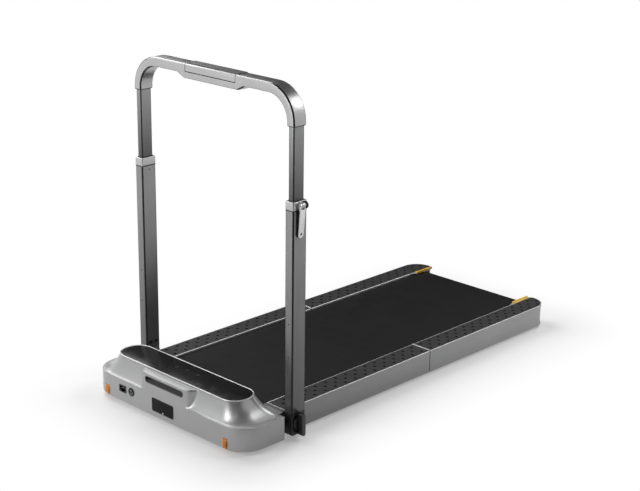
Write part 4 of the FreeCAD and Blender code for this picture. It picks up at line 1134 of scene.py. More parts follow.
def make_inlet():
    """The mains inlet and its three blades."""
    u, v = INLET
    mouth = oblong(u, v, *MOUTH_HALF, MOUTH_CORNER)
    form = bar(oblong(u, v, *INLET_HALF, INLET_CORNER), "y", -INLET_FLANGE, 0.0, INLET_FLANGE / 2)
    body = oblong(u, v, *INLET_HOLE, INLET_HOLE_CORNER)
    form.join(bar(body, "y", -INLET_FLANGE / 2, INLET_DEPTH, THIN_EDGE))
    rings = [lifted(shrunk(mouth, -MOUTH_FLARE), "y", -INLET_FLANGE - OVERRUN)]
    rings += [lifted(mouth, "y", y) for y in (0.0, MOUTH_DEPTH)]
    mesh = carved(form.mesh("fitting_black"), Form().loft(rings))
    finished("inlet_socket", "base", "fitting_black", mesh, "power_inlet")
    pins = Form()
    edge = PIN_WIDTH / 4
    for number, lift in ((-1, 0.0), (0, PIN_LIFT), (1, 0.0)):
        blade = oblong(u + number * PIN_PITCH, v + lift, PIN_WIDTH / 2, PIN_TALL / 2, edge, SMALL_STEPS)
        pins.join(bar(blade, "y", MOUTH_DEPTH - PIN_LENGTH, MOUTH_DEPTH, edge))
    finished("inlet_blades", "base", "pin_steel", pins.mesh("pin_steel"))


def make_switch():
    """The switch's ring, and its rocker: a dished disc, tipped to its off side, with two plain marks."""
    profile = [(SWITCH_BODY, SWITCH_DEPTH), (SWITCH_BODY, 0.0), (SWITCH_RADIUS, 0.0)]
    profile += [(SWITCH_RADIUS - inset, rise - SWITCH_PROUD) for inset, rise in reversed(bend(SWITCH_ROUND))]
    profile += [(SWITCH_BORE + SWITCH_BEVEL, -SWITCH_PROUD), (SWITCH_BORE, SWITCH_BEVEL - SWITCH_PROUD),
                (SWITCH_BORE, SWITCH_DEPTH - SWITCH_FLOOR)]
    finished("switch_ring", "base", "switch_black", lathe(profile, "y", *SWITCH).mesh("switch_black"),
             "switch_bezel")

    u, v = SWITCH
    profile = [(ROCKER_RADIUS, ROCKER_DEPTH), (ROCKER_RADIUS, ROCKER_EDGE - ROCKER_PROUD),
               (ROCKER_RADIUS - ROCKER_EDGE, -ROCKER_PROUD)]
    for share in ROCKER_RINGS:
        profile.append((ROCKER_RADIUS * share, ROCKER_DISH * (1 - share ** 2) - ROCKER_PROUD))
    form = lathe(profile, "y", u, v)
    face = ROCKER_MARK_DISH - ROCKER_PROUD
    levels = (face - ROCKER_MARK_PROUD, face + ROCKER_MARK_ROOT)
    stroke = oblong(u, v + ROCKER_MARK, *ROCKER_STROKE, FINE_EDGE, TINY_STEPS)
    form.join(bar(stroke, "y", *levels, ROCKER_MARK_EDGE, 1))
    ring = circle(u, v - ROCKER_MARK, ROCKER_RING, RING_TURN)
    form.join(pipe(ring, shrunk(ring, ROCKER_RING_LINE), "y", *levels, 0, 1))
    turn = Matrix.Rotation(math.radians(ROCKER_TILT), 3, "X")
    pivot = Vector((u, ROCKER_PIVOT, v))
    form.points = [tuple(pivot + turn @ (Vector(point) - pivot)) for point in form.points]
    mesh = form.mesh("switch_black", "rim_bright")
    finished("switch_rocker", "switch", "switch_black", mesh, "power_switch")


def make_wheels():
    """The transport wheels."""
    half = WHEEL_WIDTH / 2
    profile = [(WHEEL_BORE, WHEEL_DISH - half), (WHEEL_HUB, WHEEL_DISH - half),
               (WHEEL_HUB + WHEEL_HUB_BEVEL, -half), (WHEEL_RADIUS - WHEEL_EDGE, -half)]
    for inset, rise in bend(WHEEL_EDGE, WHEEL_EDGE_STEPS)[1:]:
        profile.append((WHEEL_RADIUS - inset, rise - half))
    profile += [(WHEEL_RADIUS, -WHEEL_GROOVE), (WHEEL_RADIUS - WHEEL_GROOVE, -WHEEL_GROOVE / 2)]
    profile += [(radius, -along) for radius, along in reversed(profile)]
    for x, side in zip((WHEEL_X, -WHEEL_X), SIDES):
        form = lathe([(radius, x + along) for radius, along in profile], "x", WHEEL_Y, WHEEL_Z, True,
                     steps=WHEEL_TURN)
        finished("roll_wheel_" + side, "wheel_" + side, "wheel_orange", form.mesh("wheel_orange"),
                 "transport_wheel_" + side)


# Deck
def rail_plan(inset, start, end, tail):
    """A rail's plan on the +X side, its rear end rounded on the deck's tail."""
    outer = RAIL_CORNER - inset if tail else RAIL_EDGE
    inner = RAIL_INNER_CORNER - inset if tail else RAIL_EDGE
    back = end - inset if tail else end
    radii = [RAIL_EDGE, outer, inner, RAIL_EDGE]
    return rounded(RAIL_INNER + inset, RAIL_OUTER - inset, start, back, radii, LARGE_STEPS)


def rail_rings(inset, start, end, tail, low, high, edge):
    """Rings of a rail's plan, its top edge rounded and its heel curved as seen from the side."""
    levels = [(rim, z, end) for rim, z in eased(low, high, edge)]
    if tail:
        heel = [(0.0, low + rise, end - inset - back) for back, rise in bend(RAIL_HEEL - inset, LARGE_STEPS)]
        levels = heel + levels[EASE_STEPS + 1:]
    rings = []
    for rim, z, limit in levels:
        loop = rail_plan(inset + rim, start, end, tail)
        rings.append(lifted([(x, min(y, limit)) for x, y in loop], "z", z))
    return rings


def make_rail(name, body, start, end, tail):
    """One length of rail on both sides: a channel with lips round its tread plate."""
    floor = RAIL_BOTTOM + RAIL_WALL
    roof = PLATE_SEAT - RAIL_WALL
    before = start - OVERRUN
    open_end = end - END_POCKET if tail else end + OVERRUN
    reach = end if tail else end + OVERRUN
    whole = Form().loft(rail_rings(0.0, start, end, tail, RAIL_BOTTOM, RAIL_TOP, RAIL_EDGE))
    cutters = [prism(rail_plan(RAIL_WALL, before, reach, tail), "z", PLATE_SEAT, RAIL_TOP + OVERRUN)]
    if tail:
        cutters.append(Form().loft(rail_rings(RAIL_WALL, before, end, True, floor, roof, 0.0)))
    inside = RAIL_INNER - OVERRUN
    cutters.append(block(inside, RAIL_OUTER - RAIL_WALL, before, open_end, floor, roof))
    cutters.append(block(inside, BEAM_INNER, before, open_end, RAIL_BOTTOM - OVERRUN, floor + OVERRUN))
    for side in SIDES:
        mesh = carved(whole.mesh("rail_silver", "lip_painted_highlight"), *cutters)
        # The upward faces of the top edge take the brighter metal: a painted highlight along the lips.
        for face in mesh.polygons:
            if face.normal.z > RAIL_HIGHLIGHT_SLOPE and face.center.z > (RAIL_TOP - RAIL_EDGE) * MM:
                face.material_index = 1
        hand = name + "_" + side
        finished("rail_" + hand, body, "rail_silver", sided(mesh, side), "side_rail_" + hand)


def dimple_profile():
    """The profile of one dimple: a cap of a sphere, and a straight run out of the plate."""
    sphere = (DIMPLE_RADIUS ** 2 + DIMPLE_DEPTH ** 2) / (2 * DIMPLE_DEPTH)
    profile = []
    for rise in spaced(0.0, DIMPLE_DEPTH, DIMPLE_STEPS):
        reach = math.sqrt(max(0.0, sphere ** 2 - (sphere - rise) ** 2))
        profile.append((max(reach, DIMPLE_FLOOR), RAIL_TOP - DIMPLE_DEPTH + rise))
    return profile + [(DIMPLE_RADIUS, RAIL_TOP + OVERRUN)]


def make_tread(name, body, start, end, tail):
    """One length of tread plate on both sides, with rows of dimples."""
    inset = RAIL_WALL + PLATE_GAP
    form = bar(rail_plan(inset, start, end, tail), "z", PLATE_SEAT, RAIL_TOP, TREAD_EDGE)
    corner = (RAIL_OUTER - RAIL_CORNER, end - RAIL_CORNER)
    profile = dimple_profile()
    # The dimples take the tread_dimple paint, near black and much darker than the plate.
    dips = Form()
    for lane, shift in DIMPLE_LANES:
        x = (RAIL_INNER + RAIL_OUTER) / 2 + lane
        number = math.ceil((start - FOLD_LINE) / DIMPLE_PITCH - shift)
        y = FOLD_LINE + (number + shift) * DIMPLE_PITCH
        while y < end - DIMPLE_RADIUS:
            rounding = tail and x > corner[0] and y > corner[1]
            outside = rounding and math.dist((x, y), corner) > RAIL_CORNER - inset - DIMPLE_RADIUS
            if y > start + DIMPLE_RADIUS and not outside:
                dips.join(lathe(profile, "z", x, y, paint=1, steps=SCREW_TURN))
            number += 1
            y = FOLD_LINE + (number + shift) * DIMPLE_PITCH
    for side in SIDES:
        mesh = carved(form.mesh("tread_plate", "tread_dimple"), dips)
        hand = name + "_" + side
        finished("tread_" + hand, body, "tread_plate", sided(mesh, side), "foot_plate_" + hand)


def make_belt():
    """The walking belt as one band round both rollers, with close rings where the deck folds."""
    fold = [FOLD_LINE + BELT_FOLD_STEP * step for step in range(-BELT_FOLD_STEPS, BELT_FOLD_STEPS + 1)]
    upper = spaced(FRONT_ROLLER, fold[0], BELT_RUN_STEPS)[:-1] + fold
    upper += spaced(fold[-1], REAR_ROLLER, BELT_RUN_STEPS)[1:]
    runs = []
    for side, roller, places in ((1, REAR_ROLLER, upper), (-1, FRONT_ROLLER, upper[::-1])):
        runs += [(y, 0.0, side) for y in places]
        for step in range(1, BELT_TURN):
            turn = side * math.pi / 2 - math.pi * step / BELT_TURN
            runs.append((roller, math.cos(turn), math.sin(turn)))
    half = BELT_HALF_WIDTH
    radius = BELT_TOP - ROLLER_HEIGHT
    section = [(-half, radius - BELT_EDGE), (BELT_EDGE - half, radius), (half - BELT_EDGE, radius),
               (half, radius - BELT_EDGE), (half, radius - BELT_THICK), (-half, radius - BELT_THICK)]
    rings = []
    for y, along, rise in runs:
        rings.append([(x, y + along * reach, ROLLER_HEIGHT + rise * reach) for x, reach in section])
    belt = shown("walking_belt", Form().loft(rings, closed=True).mesh("belt_rubber"))
    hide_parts("walking_belt_front", "walking_belt_rear")
    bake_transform(belt)


def make_caps():
    """The front caps of the rails with their two ridges."""
    front = RAIL_START - CAP_DEPTH
    valley = RAIL_TOP - CAP_GROOVE
    loop = [(CAP_NOSE, CAP_STEP, HAIR_EDGE), (RAIL_START, CAP_STEP, HAIR_EDGE)]
    for y, z in ((RAIL_START, RAIL_TOP), (RAIL_START - CAP_RIDGE, RAIL_TOP),
                 (RAIL_START - 2 * CAP_RIDGE, valley), (front + 2 * CAP_RIDGE, valley),
                 (front + CAP_RIDGE, RAIL_TOP), (front, RAIL_TOP),
                 (front - CAP_RIDGE, valley - CAP_GROOVE), (CAP_NOSE, CAP_NOSE_TOP)):
        loop.append((y, z, CAP_SOFT))
    form = bar(softened(loop, SMALL_STEPS), "x", RAIL_INNER, RAIL_OUTER, CAP_SOFT)
    radii = [CAP_DEPTH / 2, CAP_SOFT, CAP_SOFT, CAP_SOFT]
    leg = rounded(BEAM_OUTER, RAIL_OUTER, front, RAIL_START, radii, TUBE_STEPS)
    form.join(bar(leg, "z", RAIL_BOTTOM, CAP_STEP, CAP_SOFT))
    mesh = both(form).mesh("cap_grey", "lip_painted_highlight")
    middle = place(0, front + CAP_DEPTH / 2, 0).y
    # The top of the rear ridge takes the brighter metal: a painted highlight.
    for face in mesh.polygons:
        if face.center.z > (RAIL_TOP - CAP_SOFT) * MM and face.center.y > middle:
            face.material_index = 1
    finished("rail_caps", "base", "rail_silver", mesh, "rail_front_caps")


def make_markers():
    """The ears at the rear of the rails, and the ribbed amber wedges on them."""
    end = DECK_END - MARKER_INSET
    start = end - MARKER_LENGTH
    brink = RAIL_INNER - EAR_REACH
    low = RAIL_TOP - EAR_THICK
    root = RAIL_INNER + RAIL_WALL / 2
    ear = softened([(root, start - EAR_TAPER, 0.0), (root, end, 0.0), (brink, end, EAR_EDGE),
                    (brink, start, EAR_TAPER / 2)])
    form = bar(ear, "z", low, RAIL_TOP, EAR_EDGE)
    finished("rail_ears", "rear_deck", "rail_silver", both(form).mesh("rail_silver"))

    rings = []
    for along in spaced(0.0, MARKER_LENGTH, MARKER_RIB_STEPS * MARKER_RIBS):
        tail = max(0.0, MARKER_ROUND - min(along, MARKER_LENGTH - along))
        dip = MARKER_RIB * (1 - abs(math.sin(math.pi * MARKER_RIBS * along / MARKER_LENGTH)))
        top = RAIL_TOP + MARKER_RISE - MARKER_ROUND + math.sqrt(MARKER_ROUND ** 2 - tail ** 2) - dip
        inner = brink - MARKER_THICK + dip
        outer = RAIL_INNER + RAIL_WALL - dip
        loop = [(brink, low), (brink, RAIL_TOP), (outer, RAIL_TOP), (outer, RAIL_TOP + MARKER_FOOT),
                (inner + MARKER_CREST + MARKER_SOFT, top - MARKER_SOFT), (inner + MARKER_CREST, top),
                (inner + MARKER_SOFT, top), (inner, top - MARKER_SOFT), (inner, low)]
        rings.append(lifted(loop, "y", start + along))
    finished("rear_markers", "rear_deck", "marker_amber", both(Form().loft(rings)).mesh("marker_amber"),
             "end_markers")


def make_guards():
    """The black plates that close the rails beside the rear roller, each with a bright screw. Their black is
    partly a painted shade, standing for the dark hollow of the rails.
    """
    loop = rounded(GUARD_START, GUARD_END, GUARD_LOW, GUARD_HIGH, [GUARD_CORNER] * 4)
    face = RAIL_INNER + GUARD_INSIDE
    hole = ringed(loop, REAR_ROLLER, ROLLER_HEIGHT, AXLE_HOLE)
    form = pipe(loop, hole, "x", face, face + GUARD_THICK, HAIR_EDGE)
    head = [(radius, face + along) for radius, along in GUARD_SCREW_PROFILE]
    form.join(lathe(head, "x", *GUARD_SCREW, paint=1, steps=RING_TURN))
    finished("rear_guards", "rear_deck", "fitting_black", both(form).mesh("fitting_black", "lever_bright"))


# Handrail
def tube_loop(width, depth, corner):
    """The section of a handrail tube on the +X side."""
    return oblong(UPRIGHT_X, UPRIGHT_Y, width / 2, depth / 2, corner, TUBE_STEPS)


def slide_bore():
    """The opening that a sliding tube runs in."""
    return tube_loop(TUBE_WIDTH + 2 * SLIDE_GAP, TUBE_DEPTH + 2 * SLIDE_GAP, TUBE_CORNER)


def hollow_tube(width, depth, corner, wall, low, high, edge):
    """A handrail tube on the +X side."""
    inner = tube_loop(width - 2 * wall, depth - 2 * wall, corner - wall)
    return pipe(tube_loop(width, depth, corner), inner, "z", low, high, edge)


def line_corners(mesh):
    """Give a tube's rounded upright corners their near-black paint, a painted dark reflection."""
    for face in mesh.polygons:
        if min(abs(face.normal.x), abs(face.normal.y)) > CORNER_TURN:
            face.material_index = 1


def collar_form():
    """The collar at the top of a lower tube, with its seals."""
    def around(width, depth, lip, corner):
        return tube_loop(width + 2 * lip, depth + 2 * lip, corner)

    bore = slide_bore()
    seat = around(UPRIGHT_WIDTH, UPRIGHT_DEPTH, COLLAR_LIP, COLLAR_CORNER)
    hug = around(UPRIGHT_WIDTH, UPRIGHT_DEPTH, SEAL_LIP, UPRIGHT_CORNER)
    wiper = around(TUBE_WIDTH, TUBE_DEPTH, WIPER_LIP, TUBE_CORNER + WIPER_LIP)
    form = pipe(seat, bore, "z", COLLAR_LOW, COLLAR_HIGH - SEAL_RISE, COLLAR_EDGE)
    form.join(pipe(wiper, bore, "z", COLLAR_HIGH - 2 * SEAL_RISE, COLLAR_HIGH + SEAL_RISE, FINE_EDGE, 1))
    return form.join(pipe(hug, bore, "z", COLLAR_LOW - SEAL_DROP, COLLAR_LOW + SEAL_RISE, HAIR_EDGE, 1))


def lug_form():
    """The right collar's lug, which carries the clamp lever."""
    low = LEVER_Z - LUG_RADIUS
    high = LEVER_Z + LUG_RADIUS
    end = LEVER_X + LUG_RADIUS
    loop = softened([(LUG_ROOT, low, THIN_EDGE), (end, low, LUG_CORNER), (end, high, LUG_CORNER),
                     (LUG_ROOT, high, THIN_EDGE)])
    return bar(loop, "y", UPRIGHT_Y - LUG_WIDTH / 2, UPRIGHT_Y + LUG_WIDTH / 2, FULL_EDGE)


def screw_form():
    """The small screws on a lower tube."""
    front = [(radius, UPRIGHT_Y - UPRIGHT_DEPTH / 2 + along) for radius, along in SCREW_PROFILE]
    inside = [(radius, UPRIGHT_X - UPRIGHT_WIDTH / 2 + along) for radius, along in SCREW_PROFILE]
    form = Form()
    for z in SCREW_HEIGHTS:
        form.join(lathe(front, "y", UPRIGHT_X, z, steps=SCREW_TURN))
    return form.join(lathe(inside, "x", *SIDE_SCREW, steps=SCREW_TURN))


def make_tubes():
    """The lower tubes, the sliding tubes, the collars and the small screws."""
    lower = hollow_tube(UPRIGHT_WIDTH, UPRIGHT_DEPTH, UPRIGHT_CORNER, UPRIGHT_WALL, UPRIGHT_LOW,
                        UPRIGHT_HIGH, THIN_EDGE)
    upper = hollow_tube(TUBE_WIDTH, TUBE_DEPTH, TUBE_CORNER, TUBE_WALL, TUBE_LOW, TUBE_HIGH, FINE_EDGE)
    collars = {"right": collar_form().join(lug_form()), "left": collar_form().mirrored()}
    screws = screw_form()
    for side in SIDES:
        if side == "left":
            lower, upper, screws = lower.mirrored(), upper.mirrored(), screws.mirrored()
        for name, tube, body, node, paint in (("lower_tube_", lower, "handrail", "upright_", "upright_grey"),
                                              ("slide_tube_", upper, "handle", "inner_tube_", "slide_grey")):
            mesh = tube.mesh(paint, "corner_painted_reflection")
            line_corners(mesh)
            finished(name + side, body, "upright_grey", mesh, node + side)
        finished("collar_ring_" + side, "handrail", "collar_silver",
                 collars[side].mesh("collar_silver", "bush_plastic"), "collar_" + side)
        finished("tube_screws_" + side, "handrail", "bolt_black", screws.mesh("bolt_black"))


def make_bolts():
    """The socket-head bolts on the inner faces of the lower tubes."""
    face = UPRIGHT_X - UPRIGHT_WIDTH / 2
    head = face - BOLT_TALL
    corner = math.pi / 3
    bolts = Form()
    for y in (UPRIGHT_Y - BOLT_PITCH / 2, UPRIGHT_Y + BOLT_PITCH / 2):
        rings = []
        for radius, x in ((BOLT_SHANK, face + BOLT_LENGTH), (BOLT_SHANK, face), (BOLT_HEAD, face),
                          (BOLT_HEAD, head + BOLT_BEVEL), (BOLT_HEAD - BOLT_BEVEL, head)):
            rings.append(lifted(circle(y, BOLT_Z, radius), "x", x))
        socket = []
        for step in range(ROUND_TURN):
            turn = 2 * math.pi * step / ROUND_TURN
            radius = BOLT_SOCKET * math.cos(corner / 2) / math.cos(turn % corner - corner / 2)
            socket.append((y + radius * math.cos(turn), BOLT_Z + radius * math.sin(turn)))
        rings += [lifted(socket, "x", x) for x in (head, face - BOLT_SOCKET_FLOOR)]
        bolts.join(Form().loft(rings))
    finished("tube_bolts", "handrail", "bolt_black", both(bolts).mesh("bolt_black"), "upright_bolts")


def make_lever():
    """The clamp lever: a dark fork with a bright outer plate, hanging a little in towards the tube."""
    half = LEVER_WIDTH / 2
    low = LEVER_Z - LEVER_LENGTH
    tip = half - LEVER_TAPER
    throat = LEVER_Z - LEVER_DROP
    inside = LEVER_X - LEVER_THICK / 2
    outside = LEVER_X + LEVER_THICK / 2
    turn = tip * LEVER_ROUND
    plan = softened([(UPRIGHT_Y - tip, low, turn), (UPRIGHT_Y + tip, low, turn),
                     (UPRIGHT_Y + half, throat, THIN_EDGE), (UPRIGHT_Y - half, throat, THIN_EDGE)],
                    LARGE_STEPS)
    hole = ringed(plan, UPRIGHT_Y, low + LEVER_HOLE_RISE, LEVER_HOLE)
    form = pipe(plan, hole, "x", inside, outside - LEVER_SKIN, SOFT_EDGE)
    form.join(pipe(plan, hole, "x", outside - LEVER_SKIN, outside, FULL_EDGE, 1))
    fork = LUG_WIDTH / 2 + LEVER_FORK
    for near, far in ((UPRIGHT_Y - half, UPRIGHT_Y - fork), (UPRIGHT_Y + fork, UPRIGHT_Y + half)):
        arm = rounded(inside, outside, throat - LEVER_LAP, LEVER_Z, [SOFT_EDGE] * 4, SMALL_STEPS)
        form.join(bar(arm, "y", near, far, FINE_EDGE, 1))
        hub = [(LEVER_BORE, near), (LEVER_HUB - SOFT_EDGE, near), (LEVER_HUB, near + SOFT_EDGE),
               (LEVER_HUB, far - SOFT_EDGE), (LEVER_HUB - SOFT_EDGE, far), (LEVER_BORE, far)]
        form.join(lathe(hub, "y", LEVER_X, LEVER_Z, True, 1, HUB_TURN))
    face = UPRIGHT_Y + half
    back = face + LEVER_COVER_THICK
    cover = [(LEVER_BORE, face), (LEVER_COVER, face), (LEVER_COVER, back - LEVER_COVER_BEVEL),
             (LEVER_COVER - LEVER_COVER_BEVEL, back), (LEVER_BORE, back)]
    form.join(lathe(cover, "y", LEVER_X, LEVER_Z, True, 0, COVER_TURN))
    hung = []
    for x, y, z in form.points:
        share = max(0.0, throat - z) / LEVER_LENGTH
        hung.append((x - LEVER_LEAN * share, y - LEVER_SKEW * share, z))
    form.points = hung
    mesh = form.mesh("fitting_black", "lever_bright")
    finished("lever_blade", "lever", "collar_silver", mesh, "clamp_lever")


def bow_loop(inset):
    """The bow seen from the front: over its outside, then back along its underside."""
    outer = UPRIGHT_X + HANDLE_BAR / 2
    inner = outer - HANDLE_BAR
    under = HANDLE_TOP - HANDLE_BAR
    drop = under - MODULE_DROP
    slope = MODULE_HALF + MODULE_SLOPE
    small = HANDLE_CORNER - HANDLE_BAR
    over = softened([(outer, HANDLE_LOW, 0), (outer, HANDLE_TOP, HANDLE_CORNER),
                     (-outer, HANDLE_TOP, HANDLE_CORNER), (-outer, HANDLE_LOW, 0)], BOW_STEPS)
    below = softened([(-inner, HANDLE_LOW, 0), (-inner, under, small), (-slope, under, MODULE_BEND),
                      (-MODULE_HALF, drop, MODULE_BEND), (MODULE_HALF, drop, MODULE_BEND),
                      (slope, under, MODULE_BEND), (inner, under, small), (inner, HANDLE_LOW, 0)], BOW_STEPS)
    corner = BOW_STEPS + 2
    middle = [(-x, HANDLE_TOP) for x, z in below[corner:-corner]]
    loop = shrunk(over[:corner] + middle + over[corner:] + below, inset)
    for foot in (0, len(below) - 1, len(below), 2 * len(below) - 1):
        loop[foot] = (loop[foot][0], HANDLE_LOW)
    return loop


def make_handle():
    """The handle bow with its seals and flap, and the pad on top."""
    front = UPRIGHT_Y - HANDLE_DEPTH / 2
    back = UPRIGHT_Y + HANDLE_DEPTH / 2
    section = eased(front, back, HANDLE_EDGE, HANDLE_EDGE_STEPS)
    rings = [lifted(bow_loop(inset), "y", y) for inset, y in section]
    bow = Form().loft(rings, paired=True).mesh("handle_silver", "corner_painted_reflection", "fitting_black")
    sockets = both(prism(slide_bore(), "z", HANDLE_LOW - OVERRUN, TUBE_HIGH))
    # The pocket's walls take the black paint: a painted shade in the gap round the flap.
    pocket = block(-FLAP_HALF, FLAP_HALF, front - OVERRUN, front + FLAP_THICK + FLAP_GAP,
                   FLAP_LOW - FLAP_GAP, HANDLE_TOP + OVERRUN, 2)
    mesh = carved(bow, sockets, pocket)
    line_corners(mesh)
    finished("grab_bow", "handle", "handle_silver", mesh, "handle_bow")
    rim = tube_loop(HANDLE_BAR - SEAL_SHRINK, HANDLE_DEPTH - SEAL_SHRINK, HANDLE_EDGE)
    seal = pipe(rim, slide_bore(), "z", HANDLE_LOW - SEAL_DROP, HANDLE_LOW + SEAL_SHRINK / 2, HAIR_EDGE)
    finished("leg_seals", "handle", "bush_plastic", both(seal).mesh("bush_plastic"))

    low = FLAP_LOW + FLAP_SHRINK
    loop = softened([(front, low, FLAP_FRONT_EDGE), (front + FLAP_THICK, low, FLAP_BACK_EDGE),
                     (front + FLAP_THICK, HANDLE_TOP, HAIR_EDGE), (front, HANDLE_TOP, FLAP_TOP_EDGE)])
    side = FLAP_HALF - FLAP_GAP - FLAP_SHRINK
    flap = bar(loop, "x", -side, side, FINE_EDGE)
    finished("rest_flap", "flap", "handle_silver", flap.mesh("handle_silver"), "device_flap")

    plan = rounded(-PAD_HALF, PAD_HALF, front + PAD_FRONT, back - PAD_BACK, [PAD_CORNER] * 4)
    pad = bar(plan, "z", HANDLE_TOP - PAD_SINK, HANDLE_TOP + PAD_RISE, PAD_EDGE)
    finished("grab_pad", "handle", "pad_rubber", pad.mesh("pad_rubber"), "handle_pad")


def make_feet():
    """The black feet of the uprights, each with an oval recess and a plug in its tube."""
    front = UPRIGHT_Y - UPRIGHT_DEPTH / 2
    back = UPRIGHT_Y + UPRIGHT_DEPTH / 2
    bottom = PIVOT_Z - SHOE_DROP
    inner = UPRIGHT_X - UPRIGHT_WIDTH / 2 + SHOE_INSET
    outer = UPRIGHT_X + UPRIGHT_WIDTH / 2 - SHOE_INSET
    loop = softened([(front, bottom, SHOE_CORNER), (back, bottom, SHOE_CORNER),
                     (back, UPRIGHT_LOW, SOFT_EDGE), (front, UPRIGHT_LOW, SOFT_EDGE)])
    shoe = bar(loop, "x", inner, outer, SHOE_EDGE)
    oval = oblong(UPRIGHT_Y, PIVOT_Z, SHOE_RECESS, SHOE_RECESS_TALL / 2, SHOE_RECESS * SHOE_RECESS_ROUND,
                  LARGE_STEPS)
    recess = prism(oval, "x", outer - SHOE_RECESS_DEPTH, outer + OVERRUN, 1)
    bore = lathe([(PIVOT_PIN, inner - OVERRUN), (PIVOT_PIN, outer + OVERRUN)], "x", UPRIGHT_Y, PIVOT_Z)
    lost = 2 * UPRIGHT_WALL + PLUG_PLAY
    plug = tube_loop(UPRIGHT_WIDTH - lost, UPRIGHT_DEPTH - lost, PLUG_CORNER)
    shoe.join(bar(plug, "z", UPRIGHT_LOW - PLUG_ROOT, UPRIGHT_LOW + PLUG_RISE, PLUG_EDGE))
    mesh = carved(both(shoe).mesh("shoe_black", "fitting_black"), both(recess), both(bore))
    finished("tube_feet", "handrail", "shoe_black", mesh, "pivot_shoes")


def make_knobs():
    """The clamp knobs: a disc in the foot's recess with a grip bar, its outer face painted lighter as if
    lit.
    """
    outer = UPRIGHT_X + UPRIGHT_WIDTH / 2
    seat = outer - SHOE_INSET - SHOE_RECESS_DEPTH + KNOB_GAP
    face = outer + KNOB_FACE
    disc = lathe([(PIVOT_PIN, seat), (KNOB_RADIUS, seat), (KNOB_RADIUS, face - KNOB_EDGE),
                  (KNOB_RADIUS - KNOB_EDGE / 3, face - KNOB_EDGE / 3), (KNOB_RADIUS - KNOB_EDGE, face),
                  (PIVOT_PIN, face)], "x", UPRIGHT_Y, PIVOT_Z, True, steps=WHEEL_TURN)
    half = KNOB_THICK / 2
    end = face + KNOB_REACH
    skin = end - KNOB_SKIN
    grip = oblong(UPRIGHT_Y, PIVOT_Z, half, KNOB_LENGTH / 2, half * KNOB_ROUND, GRIP_STEPS)
    knob = disc.join(bar(grip, "x", face - KNOB_LAP, skin, FULL_EDGE))
    knob.join(bar(shrunk(grip, KNOB_SKIN_INSET), "x", skin - KNOB_SKIN_LAP, end, KNOB_SKIN_EDGE, 1))
    for side, form in zip(SIDES, (knob, knob.mirrored())):
        mesh = form.mesh("fitting_black", "knob_painted_light")
        finished("clamp_knob_" + side, "knob_" + side, "fitting_black", mesh, "fold_knob_" + side)


make_hood()
make_console()
make_grip()
make_plate()
make_inlet()
make_switch()
make_wheels()
make_rail("front", "base", RAIL_START, FOLD_LINE - SEAM, False)
make_rail("rear", "rear_deck", FOLD_LINE + SEAM, DECK_END, True)
make_tread("front", "base", RAIL_START, FOLD_LINE - PLATE_SETBACK, False)
make_tread("rear", "rear_deck", FOLD_LINE + PLATE_SETBACK, DECK_END, True)
make_belt()
make_caps()
make_markers()
make_guards()
make_tubes()
make_bolts()
make_lever()
make_handle()
make_feet()
make_knobs()


# Camera, light and floor
def make_camera():
    """The photograph's camera."""
    yaw = math.radians(CAMERA_YAW)
    pitch = math.radians(CAMERA_PITCH)
    roll = math.radians(CAMERA_ROLL)
    right = Vector((math.cos(yaw), math.sin(yaw), 0))
    back = Vector((math.sin(yaw) * math.cos(pitch), -math.cos(yaw) * math.cos(pitch), math.sin(pitch)))
    up = back.cross(right)
    rolled_right = right * math.cos(roll) + up * math.sin(roll)
    rolled_up = up * math.cos(roll) - right * math.sin(roll)
    data = bpy.data.cameras.new("camera")
    data.sensor_width = SENSOR_WIDTH
    data.lens = FOCAL_PIXELS * SENSOR_WIDTH / PICTURE_WIDTH
    camera = linked("camera", data)
    axes = Matrix((rolled_right, rolled_up, back)).transposed().to_4x4()
    camera.matrix_world = Matrix.Translation(place(*CAMERA_PLACE)) @ axes
    bpy.context.scene.camera = camera


def aimed(name, data, spot, target):
    """An object whose front looks from a spot towards a target."""
    made = linked(name, data)
    made.location = spot
    made.rotation_mode = "QUATERNION"
    made.rotation_quaternion = (Vector(target) - Vector(spot)).to_track_quat("-Z", "Y")
    return made


def make_lamp(name, spot, target, size, power):
    """A soft square lamp aimed at a target."""
    data = bpy.data.lights.new(name, "AREA")
    data.size = size
    data.energy = power
    aimed(name, data, spot, target)


def sheet(name, half_x, half_y):
    """A flat rectangle about its middle."""
    mesh = bpy.data.meshes.new(name)
    corners = ((-1, -1), (1, -1), (1, 1), (-1, 1))
    mesh.from_pydata([(x * half_x, y * half_y, 0) for x, y in corners], [], [(0, 1, 2, 3)])
    return mesh


def make_flag(name, spot, target, width, height):
    """A dark studio card that only reflections show, so that metal has something dark to mirror."""
    mesh = sheet(name, width / 2, height / 2)
    mesh.materials.append(moulded(name, grey(FLAG_DARK), FLAG_ROUGHNESS, shine=0.0))
    flag = aimed(name, mesh, spot, target)
    for ray in ("camera", "diffuse", "transmission", "volume_scatter", "shadow"):
        setattr(flag, "visible_" + ray, False)


def white_where_seen(tree, level):
    """A strength of one for what is looked at or reflected, and another level as light."""
    rays = tree.nodes.new("ShaderNodeLightPath").outputs
    seen = rays["Is Camera Ray"]
    for other in ("Is Glossy Ray", "Is Transmission Ray"):
        seen = wired(tree, "ShaderNodeMath", {0: seen, 1: rays[other]}, operation="MAXIMUM")
    return wired(tree, "ShaderNodeMapRange", {"Value": seen, "To Min": level, "To Max": 1.0}, "Result")


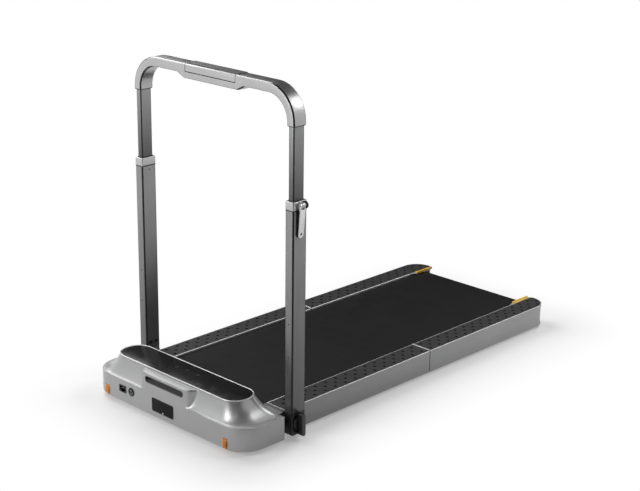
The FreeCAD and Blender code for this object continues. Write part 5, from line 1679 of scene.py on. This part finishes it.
def make_world():
    """An even sky that is white wherever it is looked at or reflected."""
    world = bpy.data.worlds.new("studio")
    bpy.context.scene.world = world
    world.use_nodes = True
    tree = world.node_tree
    sky = {"Color": (1, 1, 1, 1), "Strength": white_where_seen(tree, SKY_LEVEL)}
    plugged(tree, tree.nodes["Background"], sky)


def distance_off(tree):
    """How far a point of the floor lies outside the part's rectangle."""
    spot = wired(tree, "ShaderNodeTexCoord", {}, "Object")
    for operation, others in (("ABSOLUTE", {}), ("SUBTRACT", {1: FLOOR_HALF}), ("MAXIMUM", {1: (0, 0, 0)})):
        spot = wired(tree, "ShaderNodeVectorMath", {0: spot, **others}, operation=operation)
    return wired(tree, "ShaderNodeVectorMath", {0: spot}, "Value", operation="LENGTH")


def make_floor():
    """A pale floor that takes the shadow near the part and is plain white further off."""
    mesh = sheet("floor", FLOOR_REACH, FLOOR_REACH)
    floor = linked("floor", mesh)
    material = bpy.data.materials.new("floor")
    material.use_nodes = True
    tree = material.node_tree
    shader = tree.nodes["Principled BSDF"]
    plugged(tree, shader, {"Base Color": (*grey(FLOOR_PALE), 1), "Roughness": FLOOR_ROUGHNESS,
                           "Specular IOR Level": 0.0})
    mirrored = wired(tree, "ShaderNodeLightPath", {}, "Is Glossy Ray")
    far = wired(tree, "ShaderNodeMapRange",
                {"Value": mirrored, "To Min": FLOOR_FAR, "To Max": FLOOR_FAR_MIRRORED}, "Result")
    fade = wired(tree, "ShaderNodeMapRange",
                 {"Value": distance_off(tree), "From Min": FLOOR_NEAR, "From Max": far}, "Result",
                 interpolation_type="SMOOTHSTEP")
    glow = wired(tree, "ShaderNodeEmission", {"Strength": white_where_seen(tree, 0.0)})
    lift = wired(tree, "ShaderNodeMixShader", {0: FLOOR_LIFT, 1: shader.outputs[0], 2: glow})
    white = wired(tree, "ShaderNodeMixShader", {0: fade, 1: lift, 2: glow})
    plugged(tree, tree.nodes["Material Output"], {"Surface": white})
    mesh.materials.append(material)


make_camera()
make_world()
make_floor()
for lamp in LAMPS:
    make_lamp(*lamp)
for flag in FLAGS:
    make_flag(*flag)
bpy.context.scene.view_settings.view_transform = "Standard"
